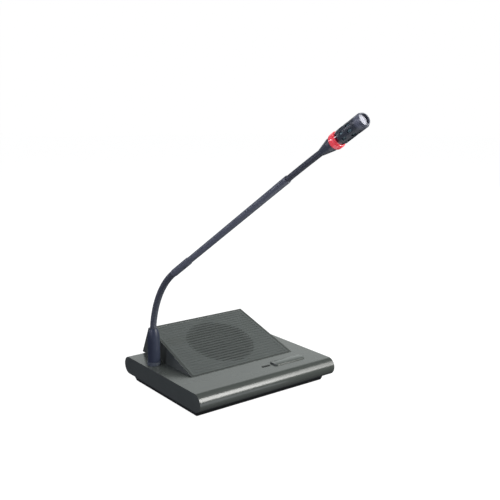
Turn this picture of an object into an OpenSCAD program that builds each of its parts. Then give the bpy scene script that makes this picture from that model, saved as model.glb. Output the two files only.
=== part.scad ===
// Desk conference microphone: a wedge-shaped base with a loudspeaker behind a ribbed grille,
// a talk button, and a two-stage gooseneck that carries the microphone head.
// Millimetres. X runs to the right, Y to the rear and Z up. The origin lies on the table,
// under the middle of the base.

/* [Base slab] */
// Width of the slab, left to right
slab_w = 200; // [190:1:230]
// Depth of the slab over its rounded front and rear edges
slab_d = 172; // [164:1:190]
// Thickness of the slab, which is also the diameter of its rounded edges
slab_t = 21.6; // [20:0.2:26]
// Wall of the moulded housing
wall = 2.6; // [2:0.1:3.2]

/* [Speaker wedge] */
// Height of the wedge's crest above the slab
wedge_h = 33.8; // [30:0.2:45]
// Distance from the slab's ends to the feet of the wedge's sides
wedge_side = 24.5; // [22:0.5:32]
// How far each side of the wedge leans in from its foot to the crest
wedge_draft = 3.3; // [1:0.1:6]
// Distance from the slab's front edge to the foot of the slope
wedge_front = 53.2; // [48:0.2:58]
// Distance from the slab's rear edge to the foot of the rear face
wedge_rear = 2; // [1:0.2:5]
// How far the rear face leans forwards from its foot to the crest
wedge_lean = 11; // [6:0.5:16]

/* [Grille] */
// Thickness of the ribbed grille panel
grille_t = 2.6; // [2.2:0.1:3.2]
// Plain border of the housing around the panel
grille_border = 3.2; // [2.4:0.1:5]
// Width of the ledge that carries the panel
ledge_w = 4; // [3:0.2:6]
// Thickness of that ledge
ledge_t = 2.2; // [1.6:0.1:3]
// Distance between ribs along the slope
rib_pitch = 4.9; // [4:0.1:7]
// Width of a groove between two ribs
groove_w = 2.2; // [1.2:0.1:3]
// Depth of a groove
groove_depth = 0.5; // [0.3:0.1:1.2]
// Plain margin at both ends of a groove
groove_margin = 3; // [2:0.5:8]
// Land of the loudspeaker's frame outside the disc in which the grooves open into sound slots
sound_land = 1; // [0.5:0.1:4]

/* [Loudspeaker] */
// Gap between the loudspeaker's square frame and the panel's ledge at the foot of the slope
speaker_low = 2.3; // [1:0.1:5]
// Gap between that frame and the ledge at the crest
speaker_high = 5.4; // [3:0.1:9]
// How far the fixing holes lie outside the circle that fits in the frame
speaker_ear_out = 4; // [3.8:0.1:6]
// Depth of the basket behind the frame
basket_h = 11; // [9:0.5:13]
// Radius of the magnet
magnet_r = 25; // [20:0.5:27]
// Height of the magnet
magnet_h = 5.6; // [4:0.2:7]
// Thickness of the foam gasket between the grille cloth and the frame
gasket_t = 4; // [3.6:0.2:5]
// Thickness of the grille cloth
cloth_t = 0.4; // [0.3:0.1:0.8]

/* [Bottom cover] */
// How far the cover is set back from the slab's ends
cover_side = 3.5; // [2:0.5:8]
// How far the cover is set back from the slab's front and rear edges
cover_ends = 14.5; // [12:0.5:19]
// How far the cover's sides lean in from its top to its bottom
cover_draft = 3.2; // [1:0.2:3.6]
// Height of the cover that shows under the slab
cover_h = 8.7; // [7:0.1:12]
// Wall and floor of the cover
cover_wall = 2.4; // [2:0.1:3]
// Width of the cover's rim that lies against the slab
cover_lap = 4; // [3:0.2:6]
// Height of the lip that reaches into the slab
cover_lip = 2.4; // [1.5:0.1:3]
// Corner radius of the cover
cover_r = 6; // [4:0.5:10]
// Distance of the cover screws from the cover's ends
cover_screw_in = 11; // [10:0.5:14]

/* [Mat and ballast] */
// How far the anti-slip mat is set back from the cover's ends
mat_side = 16; // [14.5:0.5:30]
// How far the mat is set back from the cover's front and rear edges
mat_ends = 18; // [15:0.5:30]
// Thickness of the mat
mat_t = 2.1; // [1.6:0.1:3]
// Depth of the mat's pocket in the bottom cover
mat_sink = 0.6; // [0.4:0.1:1]
// How far the steel ballast plate is set back from the cover's ends
ballast_side = 17; // [16:0.5:36]
// How far the ballast plate is set back from the cover's front and rear edges
ballast_ends = 24; // [21:0.5:34]
// Thickness of the ballast plate
ballast_t = 4; // [2:0.5:5]

/* [Circuit board] */
// Distance from the slab's ends to the circuit board
board_side = 29; // [26:0.5:32]
// Depth of the circuit board
board_d = 34; // [32:0.5:36]
// Thickness of the circuit board
board_t = 1.6; // [1:0.1:2]
// Room between the board and the housing's top wall
board_room = 9.2; // [9:0.1:10.4]
// Distance of the board's fixing holes from its edges
board_hole_in = 3.6; // [3.4:0.1:4.4]
// Distance from the board's left edge to its first plug header
header_from = 12; // [11.5:0.1:14]
// Distance between two neighbouring headers
header_pitch = 11; // [10:0.1:12]

/* [Talk button] */
// Length of the talk button
talk_w = 46; // [36:0.5:48]
// Width of the talk button
talk_d = 15; // [12:0.5:16]
// Corner radius of the talk button
talk_r = 3.4; // [2:0.2:5]
// Distance from the slab's right end to the button's right end
talk_side = 27; // [26:0.5:32]
// Distance of the button's middle from the slab's front edge
talk_in = 32; // [31:0.5:33]
// How far the button stands out of the panel
talk_rise = 1.7; // [1.2:0.1:2.6]
// Travel of the button
talk_travel = 1; // [0.5:0.1:1.2]
// Length of the indicator window
lens_w = 12; // [8:0.5:14]
// Width of the indicator window
lens_d = 4; // [3.6:0.1:6]
// Gap between the indicator window and the button
lens_gap = 4.5; // [4:0.5:8]

/* [Rear sockets] */
// Distance between the two sockets
socket_pitch = 40; // [30:1:60]
// Height of the sockets' centres along the rear face
socket_up = 16; // [13:0.5:20]
// Inner diameter of a socket
socket_bore = 13.4; // [12:0.1:14]
// Depth of a socket
socket_depth = 9; // [7:0.5:11]
// Wall of a socket's barrel
socket_wall = 1.2; // [1:0.1:1.6]
// Width of a socket's flange outside its barrel
socket_rim = 2; // [1.4:0.1:3]
// Thickness of that flange
socket_flange_t = 1.6; // [1:0.1:2.4]

/* [Gooseneck] */
// Distance of the neck from the slab's left end
neck_side = 12; // [11:0.5:13]
// Distance of the neck from the slab's rear edge
neck_back = 53; // [48:1:70]
// Diameter of the sleeve at the neck's foot
sleeve_d = 15; // [14:0.1:16]
// Height of the sleeve's top above the slab
sleeve_h = 46; // [38:0.5:60]
// Height of the sleeve's rounded nose
nose_h = 13; // [10:0.5:22]
// Diameter of the nose at its top
nose_d = 9.8; // [9.4:0.1:11]
// Diameter of the collar ring under the sleeve
collar_d = 16.4; // [16.2:0.1:18]
// Height of the collar ring
collar_h = 4.6; // [3:0.1:7]
// Diameter of the threaded bush through the housing
bush_d = 10; // [9:0.1:10.6]
// Diameter of the lower flexible tube
flex_d = 7.9; // [7.4:0.1:8.1]
// Bore of the lower flexible tube
flex_bore = 3.6; // [3:0.1:4]
// Distance between the ribs of the lower tube
flex_pitch = 2.2; // [1.6:0.1:3]
// Radius of the tight bend where the tube leaves the sleeve
exit_r = 30; // [20:1:60]
// Angle turned in that tight bend
exit_a = 11.3; // [4:0.1:20]
// Radius of the long bend above it
bend_r = 110; // [80:1:150]
// Lean of the stem from upright
neck_lean = 58; // [35:1:70]
// Diameter of the ferrule over the joint of tube and stem
ferrule_d = 8.7; // [8.5:0.1:10]
// Length of the ferrule
ferrule_l = 38; // [26:1:50]
// Diameter of the stem
stem_d = 7.4; // [7.2:0.1:8]
// Length of the stem that shows
stem_l = 197; // [120:1:260]
// Diameter of the upper flexible tube
upper_d = 5.9; // [5.2:0.1:6]
// Bore of the upper flexible tube
upper_bore = 3.2; // [3:0.1:3.6]
// Length of the upper tube that shows
upper_l = 51; // [30:1:70]
// Angle by which the upper tube bends further forwards
head_droop = 1.5; // [0.4:0.1:6]
// Distance between the ribs of the upper tube
upper_pitch = 1.9; // [1.4:0.1:2.6]
// How far the tubes reach into what holds them
tube_in = 7; // [5:0.5:9]
// Diameter of the microphone lead inside the neck
lead_d = 2.2; // [1.6:0.1:2.4]

/* [Microphone head] */
// Length of the cone under the light ring
cone_l = 18; // [14:0.5:22]
// Diameter of the cone's wide end
cone_d = 12.2; // [11.8:0.1:13]
// Outer diameter of the light ring
ring_d = 14.8; // [14.6:0.1:16]
// Length of the light ring
ring_l = 6.6; // [6.2:0.1:11]
// Length of the narrow neck between the ring and the head
ring_neck_l = 3.9; // [1.2:0.1:5]
// Diameter of the head's slotted sleeve
head_d = 13.5; // [13.2:0.1:14.2]
// Length of the slotted sleeve
head_l = 29; // [27.2:0.2:36]
// Wall of the slotted sleeve
head_wall = 0.9; // [0.7:0.1:1.1]
// Length of a sound slot in the sleeve
head_slot_l = 4.6; // [3.6:0.2:4.8]
// Width of a sound slot in the sleeve
head_slot_w = 2.4; // [1.4:0.1:3]
// Slots around the sleeve in each row
head_slots = 8; // [6:1:10]
// Diameter of the opening in the head's front
mouth_d = 9.2; // [8:0.1:9.6]
// Depth of that opening, in front of its bright mesh
mouth_t = 2; // [1.2:0.1:2.2]
// Length of the tapered rim around the opening
rim_l = 2.4; // [0.8:0.1:3]
// How far the rim leans in over that length
rim_in = 1.1; // [0.6:0.1:1.3]
// Diameter of the microphone capsule
capsule_d = 9.6; // [8.5:0.1:9.7]
// Length of the microphone capsule
capsule_l = 5.8; // [4.5:0.1:6.2]

/* [Screws] */
// Diameter of the screws' shanks
screw_d = 2.9; // [2.5:0.1:3.2]
// Diameter of the screws' heads
screw_head_d = 5.4; // [5:0.1:6]
// Height of the screws' heads
screw_head_h = 1.8; // [1.4:0.1:2.2]

/* [Fits] */
// Gap around pieces that are fixed to each other
fit = 0.2; // [0.1:0.05:0.3]
// Gap between pieces that move against each other
run = 0.3; // [0.2:0.05:0.4]
// Radial gap of the switch plunger in its bore
plunger_fit = 0.05; // [0.03:0.01:0.1]

/* [Hidden] */
$fn = 64;

// Overrun of every cut past the face that it opens
cut = 1;

// Levels of the base, from the table up
cover_z = mat_t - mat_sink;
slab_z = cover_z + cover_h;
top_z = slab_z + slab_t;
edge_r = slab_t / 2;
mid_z = slab_z + edge_r;
ceiling_z = top_z - wall;
cover_floor_z = cover_z + cover_wall;

// Lines of the base, from front to rear
front_y = -slab_d / 2;
rear_y = slab_d / 2;
foot_y = front_y + wedge_front;
wedge_rear_y = rear_y - wedge_rear;
crest_y = wedge_rear_y - wedge_lean;

// Widths of the wedge, the cover, the mat, the ballast and the board
wedge_w = slab_w - 2 * wedge_side;
wedge_top_w = wedge_w - 2 * wedge_draft;
cover_w = slab_w - 2 * cover_side;
cover_d = slab_d - 2 * cover_ends;
mat_w = cover_w - 2 * mat_side;
mat_d = cover_d - 2 * mat_ends;
ballast_w = cover_w - 2 * ballast_side;
ballast_d = cover_d - 2 * ballast_ends;
board_w = slab_w - 2 * board_side;

// Slope and rear face of the wedge
slope_run = crest_y - foot_y;
slope_a = atan(wedge_h / slope_run);
slope_len = norm([slope_run, wedge_h]);
rear_a = atan(wedge_lean / wedge_h);
slope_wall = grille_t + ledge_t;

// Inner corner under the crest, where the inner slope meets the inner rear face
in_foot = [foot_y + slope_wall * sin(slope_a), top_z - slope_wall * cos(slope_a)];
in_rear = [wedge_rear_y - wall * cos(rear_a), top_z - wall * sin(rear_a)];
slope_dir = [cos(slope_a), sin(slope_a)];
rear_dir = [-sin(rear_a), cos(rear_a)];
in_crest = in_foot + slope_dir * cross2(in_rear - in_foot, rear_dir) / cross2(slope_dir, rear_dir);

// Loudspeaker's frame in the slope's opening, and the disc of sound slots over it
speaker_from = grille_border + ledge_w + speaker_low;
speaker_side = slope_len - speaker_from - grille_border - ledge_w - speaker_high;
speaker_up = speaker_from + speaker_side / 2;
speaker_hole_r = speaker_side / 2 + speaker_ear_out;
sound_r = speaker_side / 2 - sound_land;
slot_step = 0.5;
slot_w = groove_w - 2 * slot_step;

// Loudspeaker, measured down from the outer face of the slope
cloth_z = -grille_t;
gasket_z = cloth_z - cloth_t;
frame_z = gasket_z - gasket_t;
frame_t = 0.9;
post_d = 6;
pilot_gap = 0.1;
speaker_ear = speaker_hole_r * sqrt(0.5);
frame_land = 5;
frame_hole_r = speaker_side / 2 - frame_land;
ear_land = 0.8;
frame_corner_r = speaker_hole_r + post_d / 2 + ear_land;
cloth_over = 0.6;
gasket_over = 0.4;
roll_r = 3;
roll_lip = 1.6;
paper_t = 0.5;
cone_top_r = frame_hole_r - 2 * roll_r - paper_t - pilot_gap;
coil_r = 10.4;
coil_t = 0.5;
coil_gap = 0.6;
basket_neck_r = 20;
basket_z = frame_z - basket_h;
cone_lift = 2.6;
cone_low_z = basket_z + cone_lift;
plate_t = 2.5;
pole_r = coil_r - coil_t - coil_gap;
plate_bore_r = coil_r + coil_gap;
magnet_inset = 2.5;
magnet_bore_r = plate_bore_r + magnet_inset;
plate_z = basket_z - frame_t;
magnet_z = plate_z - plate_t;
yoke_z = magnet_z - magnet_h;

// Bottom cover and what is screwed to it
hole_w = cover_w - 2 * cover_lap;
hole_d = cover_d - 2 * cover_lap;
boss_d = 7.6;
cover_screw_x = cover_w / 2 - cover_screw_in;
cover_screw_y = cover_d / 2 - cover_screw_in;
screw_hole_d = screw_d + 2 * pilot_gap;
head_hole_d = screw_head_d + 2 * fit;
cover_screw_bite = 6;
screw_sink = 0.6;
screw_spare = 1;
ballast_screw_in = 6;
ballast_screw_x = ballast_w / 2 - ballast_screw_in;
ballast_screw_y = ballast_d / 2 - ballast_screw_in;
ballast_post_h = 0.8;
ballast_z = cover_floor_z + ballast_post_h;
ballast_pilot = 1.2;

// Circuit board, hung from the top wall of the slab behind its front edge
board_z = ceiling_z - board_room;
board_y = front_y + talk_in;
board_x = 0;
board_hole_x = board_w / 2 - board_hole_in;
board_hole_y = board_d / 2 - board_hole_in;
board_boss_d = 5.8;
board_r = 2;
cap_count = 3;
cap_d = 6.3;
cap_h = 7;
cap_pitch = 10;
cap_left = 8;
cap_x = board_x - cap_left;
cap_y = board_y + board_d / 2 - cap_d;
chip_left = 16;
chip_front = 6;
chip_x = board_x - chip_left;
chip_y = board_y - chip_front;
header_w = 9;
header_d = 5;
header_h = 5;
header_wall = 0.8;
header_edge = 0.5;
header_right = 6;
neck_header_x = board_x - board_w / 2 + header_from;
speaker_header_x = neck_header_x + header_pitch;
socket_header_x = board_x + header_right;
header_y = board_y + board_d / 2 - header_d / 2 - header_edge;
header_z = board_z + header_h;

// Talk button, its switch and its indicator
talk_x = slab_w / 2 - talk_side - talk_w / 2;
talk_y = front_y + talk_in;
lens_x = talk_x - talk_w / 2 - lens_gap - lens_w / 2;
talk_flange = 1.4;
talk_flange_t = 1;
talk_wall = 1.6;
switch_w = 6;
switch_h = 3.6;
plunger_d = 3.4;
plunger_in = 1.2;
plunger_out = 1.4;
plunger_top_z = board_z + switch_h + plunger_out;
talk_flange_z = ceiling_z - run - talk_flange_t;
post_w = 7;
lens_flange = 1;
lens_flange_t = 0.8;
lens_rise = 0.3;
led_d = 3;
led_base_h = 1;
led_brim = 0.4;

// Rear sockets
socket_barrel_d = socket_bore + 2 * socket_wall;
socket_flange_d = socket_barrel_d + 2 * socket_rim;
insert_t = 3.6;
insert_step = 0.5;
contact_d = 1.6;
contact_depth = 2.4;
contact_circle_r = 3.6;
contacts = 8;
socket_nut_t = 2.6;
socket_nut_rim = 2.2;
socket_nut_d = socket_barrel_d + 2 * socket_nut_rim;
socket_back = socket_depth + insert_t;
socket_inside = socket_back - socket_flange_t;

// Foot of the neck
neck_x = -slab_w / 2 + neck_side;
neck_y = rear_y - neck_back;
sleeve_top_z = top_z + sleeve_h;
bush_bore_d = 5;
bush_in = 12;
bush_below = 9;
nut_af = 14;
nut_t = 3.6;
washer_t = 1;
washer_d = 15.6;
tube_step = 0.6;
flex_end_d = flex_d - 2 * tube_step;
upper_end_d = upper_d - 2 * tube_step;
sleeve_seat_d = flex_end_d + 2 * run;
nose_in = (sleeve_d - nose_d) / 2;
nose_r = (nose_h * nose_h + nose_in * nose_in) / (2 * nose_in);
nose_a = asin(nose_h / nose_r);
nose_steps = 8;

// Stations along the neck, counted from the top of the sleeve
exit_l = exit_r * exit_a * PI / 180;
main_a = neck_lean - exit_a;
main_l = bend_r * main_a * PI / 180;
flex_l = exit_l + main_l;
exit_end = [exit_r * (1 - cos(exit_a)), exit_r * sin(exit_a)];
bend_end = exit_end + bend_r * [cos(exit_a) - cos(neck_lean), sin(neck_lean) - sin(exit_a)];
stem_from = tube_in + run;
ferrule_end = ferrule_l;
stem_end = ferrule_end + stem_l;
cone_from = stem_end + upper_l;
ring_from = cone_from + cone_l;
head_from = ring_from + ring_l + ring_neck_l;
head_end = head_from + head_l;
stem_step = 0.4;
stem_bore_d = upper_end_d - 2 * stem_step;
upper_u = flex_l + stem_end;
head_u = flex_l + cone_from;
head_lean = neck_lean + head_droop;
droop_r = upper_l / head_droop * 180 / PI;
stem_top = bend_end + stem_end * [sin(neck_lean), cos(neck_lean)];
head_foot = stem_top
    + droop_r * [cos(neck_lean) - cos(head_lean), sin(head_lean) - sin(neck_lean)];
tube_sides = 12;
tube_plain = tube_in + run;
rib_depth = 0.16;
rib_foot = 0.1;
rib_crest = 0.5;
lead_sides = 8;
lead_step = 6;

// Inside of the head
shell_in_d = head_d - 2 * head_wall;
spigot_l = 3;
spigot_d = shell_in_d - 2 * fit;
ring_bore_d = spigot_d;
ring_neck_in = 0.5;
ring_neck_d = head_d - 2 * ring_neck_in;
led_ring_d = ring_bore_d - 2 * fit;
led_ring_t = 1.2;
led_size = 1.6;
mesh_t = 0.5;
mesh_step = 0.4;
boot_back = 0.8;
boot_l = capsule_l + boot_back;
port_d = 2;
port_depth = 0.6;
capsule_front = head_end - mouth_t - mesh_t - mesh_step;
capsule_back = capsule_front - capsule_l;
lead_end = capsule_back - run;
lead_from = -sleeve_h - wall - bush_below;
slot_row_gap = 4.4;
slot_rows_in = 3.5;
slot_rows_from = head_from + slot_rows_in;
liner_over = 0.5;

// Start of every lead in its header: steps away from the header's top
plug_in = 3.6;
plug_free = 0.6;
plug_steps = [[0, 0, -plug_in], [0, 0, -plug_free], [0, 0.8, 1.6], [0, 5, 2]];

// Route of the lead from its header to the bush, as steps away from each end
bush_low = [neck_x, neck_y, top_z - wall - bush_below];
neck_plug = [neck_header_x, header_y, header_z];
neck_plug_step = [-8, 18, -1];
bush_steps = [[8, -40, -4], [2, -10, -4], [0, -2, -3], [0, 0, -run]];

// Route of the loudspeaker's leads: steps away from the header, then points beside the magnet
speaker_plug = [speaker_header_x, header_y, header_z];
lead_pitch = 3.2;
speaker_plug_step = [2, 16, -3];
terminal_pitch = 4.8;
magnet_steps = [
    [-magnet_r - 8, -20, magnet_z - 3],
    [-magnet_r - 4, -8, magnet_z - 2],
    [-magnet_r - lead_d / 2 - run, 0, magnet_z - 1]
];

// Route of each socket's lead: steps away from the header, past the magnet's right side, to the socket,
// with one more step behind the magnet on the way to the left socket
socket_plug = [socket_header_x, header_y, header_z];
socket_back_z = top_z + socket_up * cos(rear_a) - socket_inside * sin(rear_a);
socket_back_y = wedge_rear_y - socket_up * sin(rear_a) - socket_inside * cos(rear_a);
socket_steps = [[10, 20, -8], [30, 40, -11], [34, 70, -11]];
socket_cross_step = [30, 100, -9];
socket_axis = [0, cos(rear_a), sin(rear_a)];
socket_end_steps = [-8 * socket_axis, -4 * socket_axis, -run * socket_axis];
route_steps = 3;

// Colours
HOUSING = "#565d5a";
GRILLE = "#4a504e";
BLACK = "#1d1f21";
NECK = "#2b2d38";
STEEL = "#a9adb0";
BRASS = "#c2a35a";
RED = "#d8323f";
SILVER = "#c9cbd4";
BOARD = "#23573a";
PAPER = "#2a2927";
FERRITE = "#3a3a3c";
IVORY = "#e6e0c8";
BUTTON = "#7c8380";
SMOKED = "#101314";
COLLAR = "#3d4049";
LEAD = "#8d2f2f";

// Cross product of two plane vectors
function cross2(a, b) = a[0] * b[1] - a[1] * b[0];

// Half the slope's width at a distance s up the slope
function slope_half(s) = (wedge_w - (wedge_w - wedge_top_w) * s / slope_len) / 2;

// Lean of the neck at a distance u from the sleeve's top
function neck_turn(u) =
    u <= 0 ? 0 :
    u < exit_l ? u / exit_r * 180 / PI :
    u < flex_l ? exit_a + (u - exit_l) / bend_r * 180 / PI :
    u < upper_u ? neck_lean :
    u < head_u ? neck_lean + (u - upper_u) / droop_r * 180 / PI :
    head_lean;

// Place of the neck at u: how far forwards and how far above the sleeve's top
function neck_place(u) =
    u <= 0 ? [0, u] :
    u < exit_l ? exit_r * [1 - cos(neck_turn(u)), sin(neck_turn(u))] :
    u < flex_l ? exit_end
        + bend_r * [cos(exit_a) - cos(neck_turn(u)), sin(neck_turn(u)) - sin(exit_a)] :
    u < upper_u ? bend_end + (u - flex_l) * [sin(neck_lean), cos(neck_lean)] :
    u < head_u ? stem_top
        + droop_r * [cos(neck_lean) - cos(neck_turn(u)), sin(neck_turn(u)) - sin(neck_lean)] :
    head_foot + (u - head_u) * [sin(head_lean), cos(head_lean)];

// The same place as a point of the object
function neck_point(u) = [neck_x, neck_y - neck_place(u)[0], sleeve_top_z + neck_place(u)[1]];

// One ring of points around the neck, of radius r
function neck_ring(u, r, sides) = [
    for (i = [0 : sides - 1])
        let (turn = neck_turn(u), phi = 360 * i / sides)
        neck_point(u) + r * [cos(phi), sin(phi) * cos(turn), sin(phi) * sin(turn)]
];

// One ring of points around a free route, square to direction dir
function route_ring(p, dir, r, sides) =
    let (
        t = dir / norm(dir),
        side = cross(t, [1, 1, 1]),
        n = side / norm(side),
        b = cross(t, n)
    )
    [for (i = [0 : sides - 1]) p + r * (cos(360 * i / sides) * n + sin(360 * i / sides) * b)];

// A point on the smooth curve through four route points, between the second and the third
function curve_point(p, k) =
    (2 * p[1] + (p[2] - p[0]) * k + (2 * p[0] - 5 * p[1] + 4 * p[2] - p[3]) * k * k
        + (3 * p[1] - p[0] - 3 * p[2] + p[3]) * k * k * k) / 2;

// The smooth curve through a list of route points, with a few steps from one to the next
function smooth_route(points, steps) =
    let (last = len(points) - 1)
    [
        for (i = [0 : last - 1], k = [0 : steps - 1])
            let (before = points[max(i - 1, 0)], after = points[min(i + 2, last)])
            curve_point([before, points[i], points[i + 1], after], k / steps),
        points[last]
    ];

// Place in the object's frame of a point in the loudspeaker's frame
function speaker_point(p) = [
    p[0],
    foot_y + (speaker_up + p[1]) * cos(slope_a) - p[2] * sin(slope_a),
    top_z + (speaker_up + p[1]) * sin(slope_a) + p[2] * cos(slope_a)
];

// Distance of each groove of the grille from the foot of the slope
function groove_rows() =
    let (
        room = slope_len - 2 * (grille_border + fit) - rib_pitch,
        count = floor(room / rib_pitch)
    )
    [for (i = [0 : count]) slope_len / 2 + (i - count / 2) * rib_pitch];

// Triangles between two neighbouring rings, ring j and ring j + 1
function band(j, sides, flip) = [
    for (i = [0 : sides - 1])
        let (a = j * sides + i, b = j * sides + (i + 1) % sides, c = a + sides, d = b + sides)
        each (flip ? [[a, b, d], [a, d, c]] : [[a, d, b], [a, c, d]])
];

// Triangles that close a ring to a fan
function fan(from, sides, flip) = [
    for (i = [1 : sides - 2])
        flip ? [from, from + i + 1, from + i] : [from, from + i, from + i + 1]
];

// A solid rod through a list of rings
module rod(rings) {
    sides = len(rings[0]);
    count = len(rings);
    polyhedron(
        points = [for (ring = rings) each ring],
        faces = concat(
            [for (j = [0 : count - 2]) each band(j, sides, false)],
            fan(0, sides, false),
            fan((count - 1) * sides, sides, true)
        ),
        convexity = 8
    );
}

// A hollow tube: one list of rings outside and one inside, both from end to end
module tube(outer, inner) {
    sides = len(outer[0]);
    out_count = len(outer);
    in_count = len(inner);
    in_first = out_count * sides;
    out_last = (out_count - 1) * sides;
    in_last = in_first + (in_count - 1) * sides;
    polyhedron(
        points = [for (ring = concat(outer, inner)) each ring],
        faces = concat(
            [for (j = [0 : out_count - 2]) each band(j, sides, false)],
            [for (j = [out_count : out_count + in_count - 2]) each band(j, sides, true)],
            [for (i = [0 : sides - 1])
                let (k = (i + 1) % sides)
                each [[i, k, in_first + k], [i, in_first + k, in_first + i]]],
            [for (i = [0 : sides - 1])
                let (k = (i + 1) % sides, o = out_last + i, n = in_last + k)
                each [[o, n, out_last + k], [o, in_last + i, n]]]
        ),
        convexity = 8
    );
}

// A ribbed flexible tube along the neck from u = from to u = to, plain at both ends
module ribbed_tube(from, to, d, bore, pitch) {
    rib_from = from + tube_plain;
    ribbed_l = to - from - 2 * tube_plain;
    ribs = floor(ribbed_l / pitch);
    rib_step = ribbed_l / ribs;
    groove_r = d / 2 - rib_depth * pitch;
    end_r = d / 2 - tube_step;
    outer = concat(
        [for (u = [from, rib_from]) neck_ring(u, end_r, tube_sides)],
        [for (i = [0 : ribs - 1]) each [
            neck_ring(rib_from + (i + rib_foot) * rib_step, groove_r, tube_sides),
            neck_ring(rib_from + (i + rib_crest) * rib_step, d / 2, tube_sides)
        ]],
        [for (u = [to - tube_plain, to]) neck_ring(u, end_r, tube_sides)]
    );
    inner_steps = ceil((to - from) / lead_step);
    inner = [
        for (i = [0 : inner_steps])
            neck_ring(from + (to - from) * i / inner_steps, bore / 2, tube_sides)
    ];
    tube(outer, inner);
}

// A lead through a list of route points, as one smooth rod
module lead_along(route) {
    points = smooth_route(route, route_steps);
    last = len(points) - 1;
    rod([
        for (i = [0 : last])
            let (dir = points[min(i + 1, last)] - points[max(i - 1, 0)])
            route_ring(points[i], dir, lead_d / 2, lead_sides)
    ]);
}

// Local frame on the slope: x to the right, y up the slope, z out of it
module on_slope() {
    translate([0, foot_y, top_z]) rotate([slope_a, 0, 0]) children();
}

// The same frame, moved to the loudspeaker's axis
module on_speaker() {
    on_slope() translate([0, speaker_up, 0]) children();
}

// Local frame on the wedge's rear face: y up the face, z out of it
module on_rear() {
    translate([0, wedge_rear_y, top_z]) rotate([90 - rear_a, 0, 180]) children();
}

// Local frames of the two sockets
module on_sockets() {
    on_rear() for (side = [-1, 1]) translate([side * socket_pitch / 2, socket_up, 0]) children();
}

// Local frame on the straight part of the neck, t beyond the end of the lower tube
module on_stem(t) {
    translate(neck_point(flex_l)) rotate([neck_lean, 0, 0]) translate([0, 0, t]) children();
}

// Local frame of the microphone head, at the station t counted along the neck
module on_head(t) {
    translate(neck_point(flex_l + t)) rotate([head_lean, 0, 0]) children();
}

// Local frame at the neck's foot, on the slab's top
module on_neck_foot() {
    translate([neck_x, neck_y, top_z]) children();
}

// Four places, mirrored about the middle
module four(x, y) {
    for (sx = [-1, 1], sy = [-1, 1]) translate([sx * x, sy * y, 0]) children();
}

// Rectangle with round corners
module round_rect(w, d, r) {
    square([w - 2 * r, d], center = true);
    square([w, d - 2 * r], center = true);
    four(w / 2 - r, d / 2 - r) circle(r);
}

// Plate with round corners, standing on z = 0
module plate(w, d, r, t) {
    linear_extrude(t) round_rect(w, d, r);
}

// Ring standing on z = 0
module ring(outer_d, inner_d, h) {
    difference() {
        cylinder(d = outer_d, h = h);
        translate([0, 0, -cut]) cylinder(d = inner_d, h = h + 2 * cut);
    }
}

// Screw with its head below z = 0 and its shank upwards
module screw(l) {
    translate([0, 0, -screw_head_h]) cylinder(d = screw_head_d, h = screw_head_h);
    cylinder(d = screw_d, h = l);
}

// Side outline of a slab with round edges, drawn with x to the rear and y up
module edge_outline(inset) {
    translate([0, mid_z]) {
        square([slab_d - slab_t, slab_t - 2 * inset], center = true);
        for (side = [-1, 1]) translate([side * (slab_d / 2 - edge_r), 0]) circle(edge_r - inset);
    }
}

// Extrudes a side outline to the width w, centred on X
module across(w) {
    translate([-w / 2, 0, 0]) rotate([90, 0, 90]) linear_extrude(w) children();
}

// Extrudes a front outline to the depth d, centred on Y
module along(d) {
    translate([0, d / 2, 0]) rotate([90, 0, 0]) linear_extrude(d) children();
}

// Outline of a block of width w and height h whose sides lean in by draft towards its bottom
module drafted_outline(w, h, draft) {
    polygon([[draft - w / 2, 0], [w / 2 - draft, 0], [w / 2, h], [-w / 2, h]]);
}

// Block with four such sides, standing on z = 0
module drafted_block(w, d, h, draft) {
    intersection() {
        across(w) drafted_outline(d, h, draft);
        along(d) drafted_outline(w, h, draft);
    }
}

// Front outline of the wedge, extruded from front to rear, with its sides moved in by inset
module wedge_sides(inset) {
    foot = wedge_w / 2 - inset;
    crest = wedge_top_w / 2 - inset;
    crest_z = top_z + wedge_h;
    along(slab_d) polygon([
        [-foot, mid_z], [foot, mid_z], [foot, top_z],
        [crest, crest_z], [-crest, crest_z], [-foot, top_z]
    ]);
}

// Outer body of the wedge
module wedge_body() {
    intersection() {
        across(wedge_w) polygon([
            [foot_y, top_z], [crest_y, top_z + wedge_h], [wedge_rear_y, top_z]
        ]);
        wedge_sides(0);
    }
}

// Hollow inside the wedge, open to the slab below
module wedge_hollow() {
    intersection() {
        across(wedge_w) polygon([
            [in_foot[0], mid_z], in_foot, in_crest, in_rear, [in_rear[0], mid_z]
        ]);
        wedge_sides(wall);
    }
}

// Outline of the slope moved in by inset on all four sides
module slope_outline(inset) {
    low = inset;
    high = slope_len - inset;
    polygon([
        [-slope_half(low) + inset, low], [slope_half(low) - inset, low],
        [slope_half(high) - inset, high], [-slope_half(high) + inset, high]
    ]);
}

// Posts under the top wall that take the cover screws and the board screws
module shell_posts() {
    translate([0, 0, slab_z]) four(cover_screw_x, cover_screw_y)
        cylinder(d = boss_d, h = ceiling_z - slab_z + wall / 2);
    translate([board_x, board_y, board_z]) four(board_hole_x, board_hole_y)
        cylinder(d = board_boss_d, h = board_room + wall / 2);
}

// Pilot holes in those posts
module shell_post_holes() {
    translate([0, 0, slab_z - cut]) four(cover_screw_x, cover_screw_y)
        cylinder(d = screw_hole_d, h = cover_screw_bite + 2 * cut);
    translate([board_x, board_y, board_z - cut]) four(board_hole_x, board_hole_y)
        cylinder(d = screw_hole_d, h = board_room - wall + cut);
}

// Room inside the wedge, with the grille's pocket and opening in the slope
module wedge_cuts() {
    wedge_hollow();
    on_slope() translate([0, 0, -grille_t]) linear_extrude(grille_t + cut)
        slope_outline(grille_border);
    on_slope() translate([0, 0, -slope_wall - cut]) linear_extrude(slope_wall + 2 * cut)
        slope_outline(grille_border + ledge_w);
}

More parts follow.
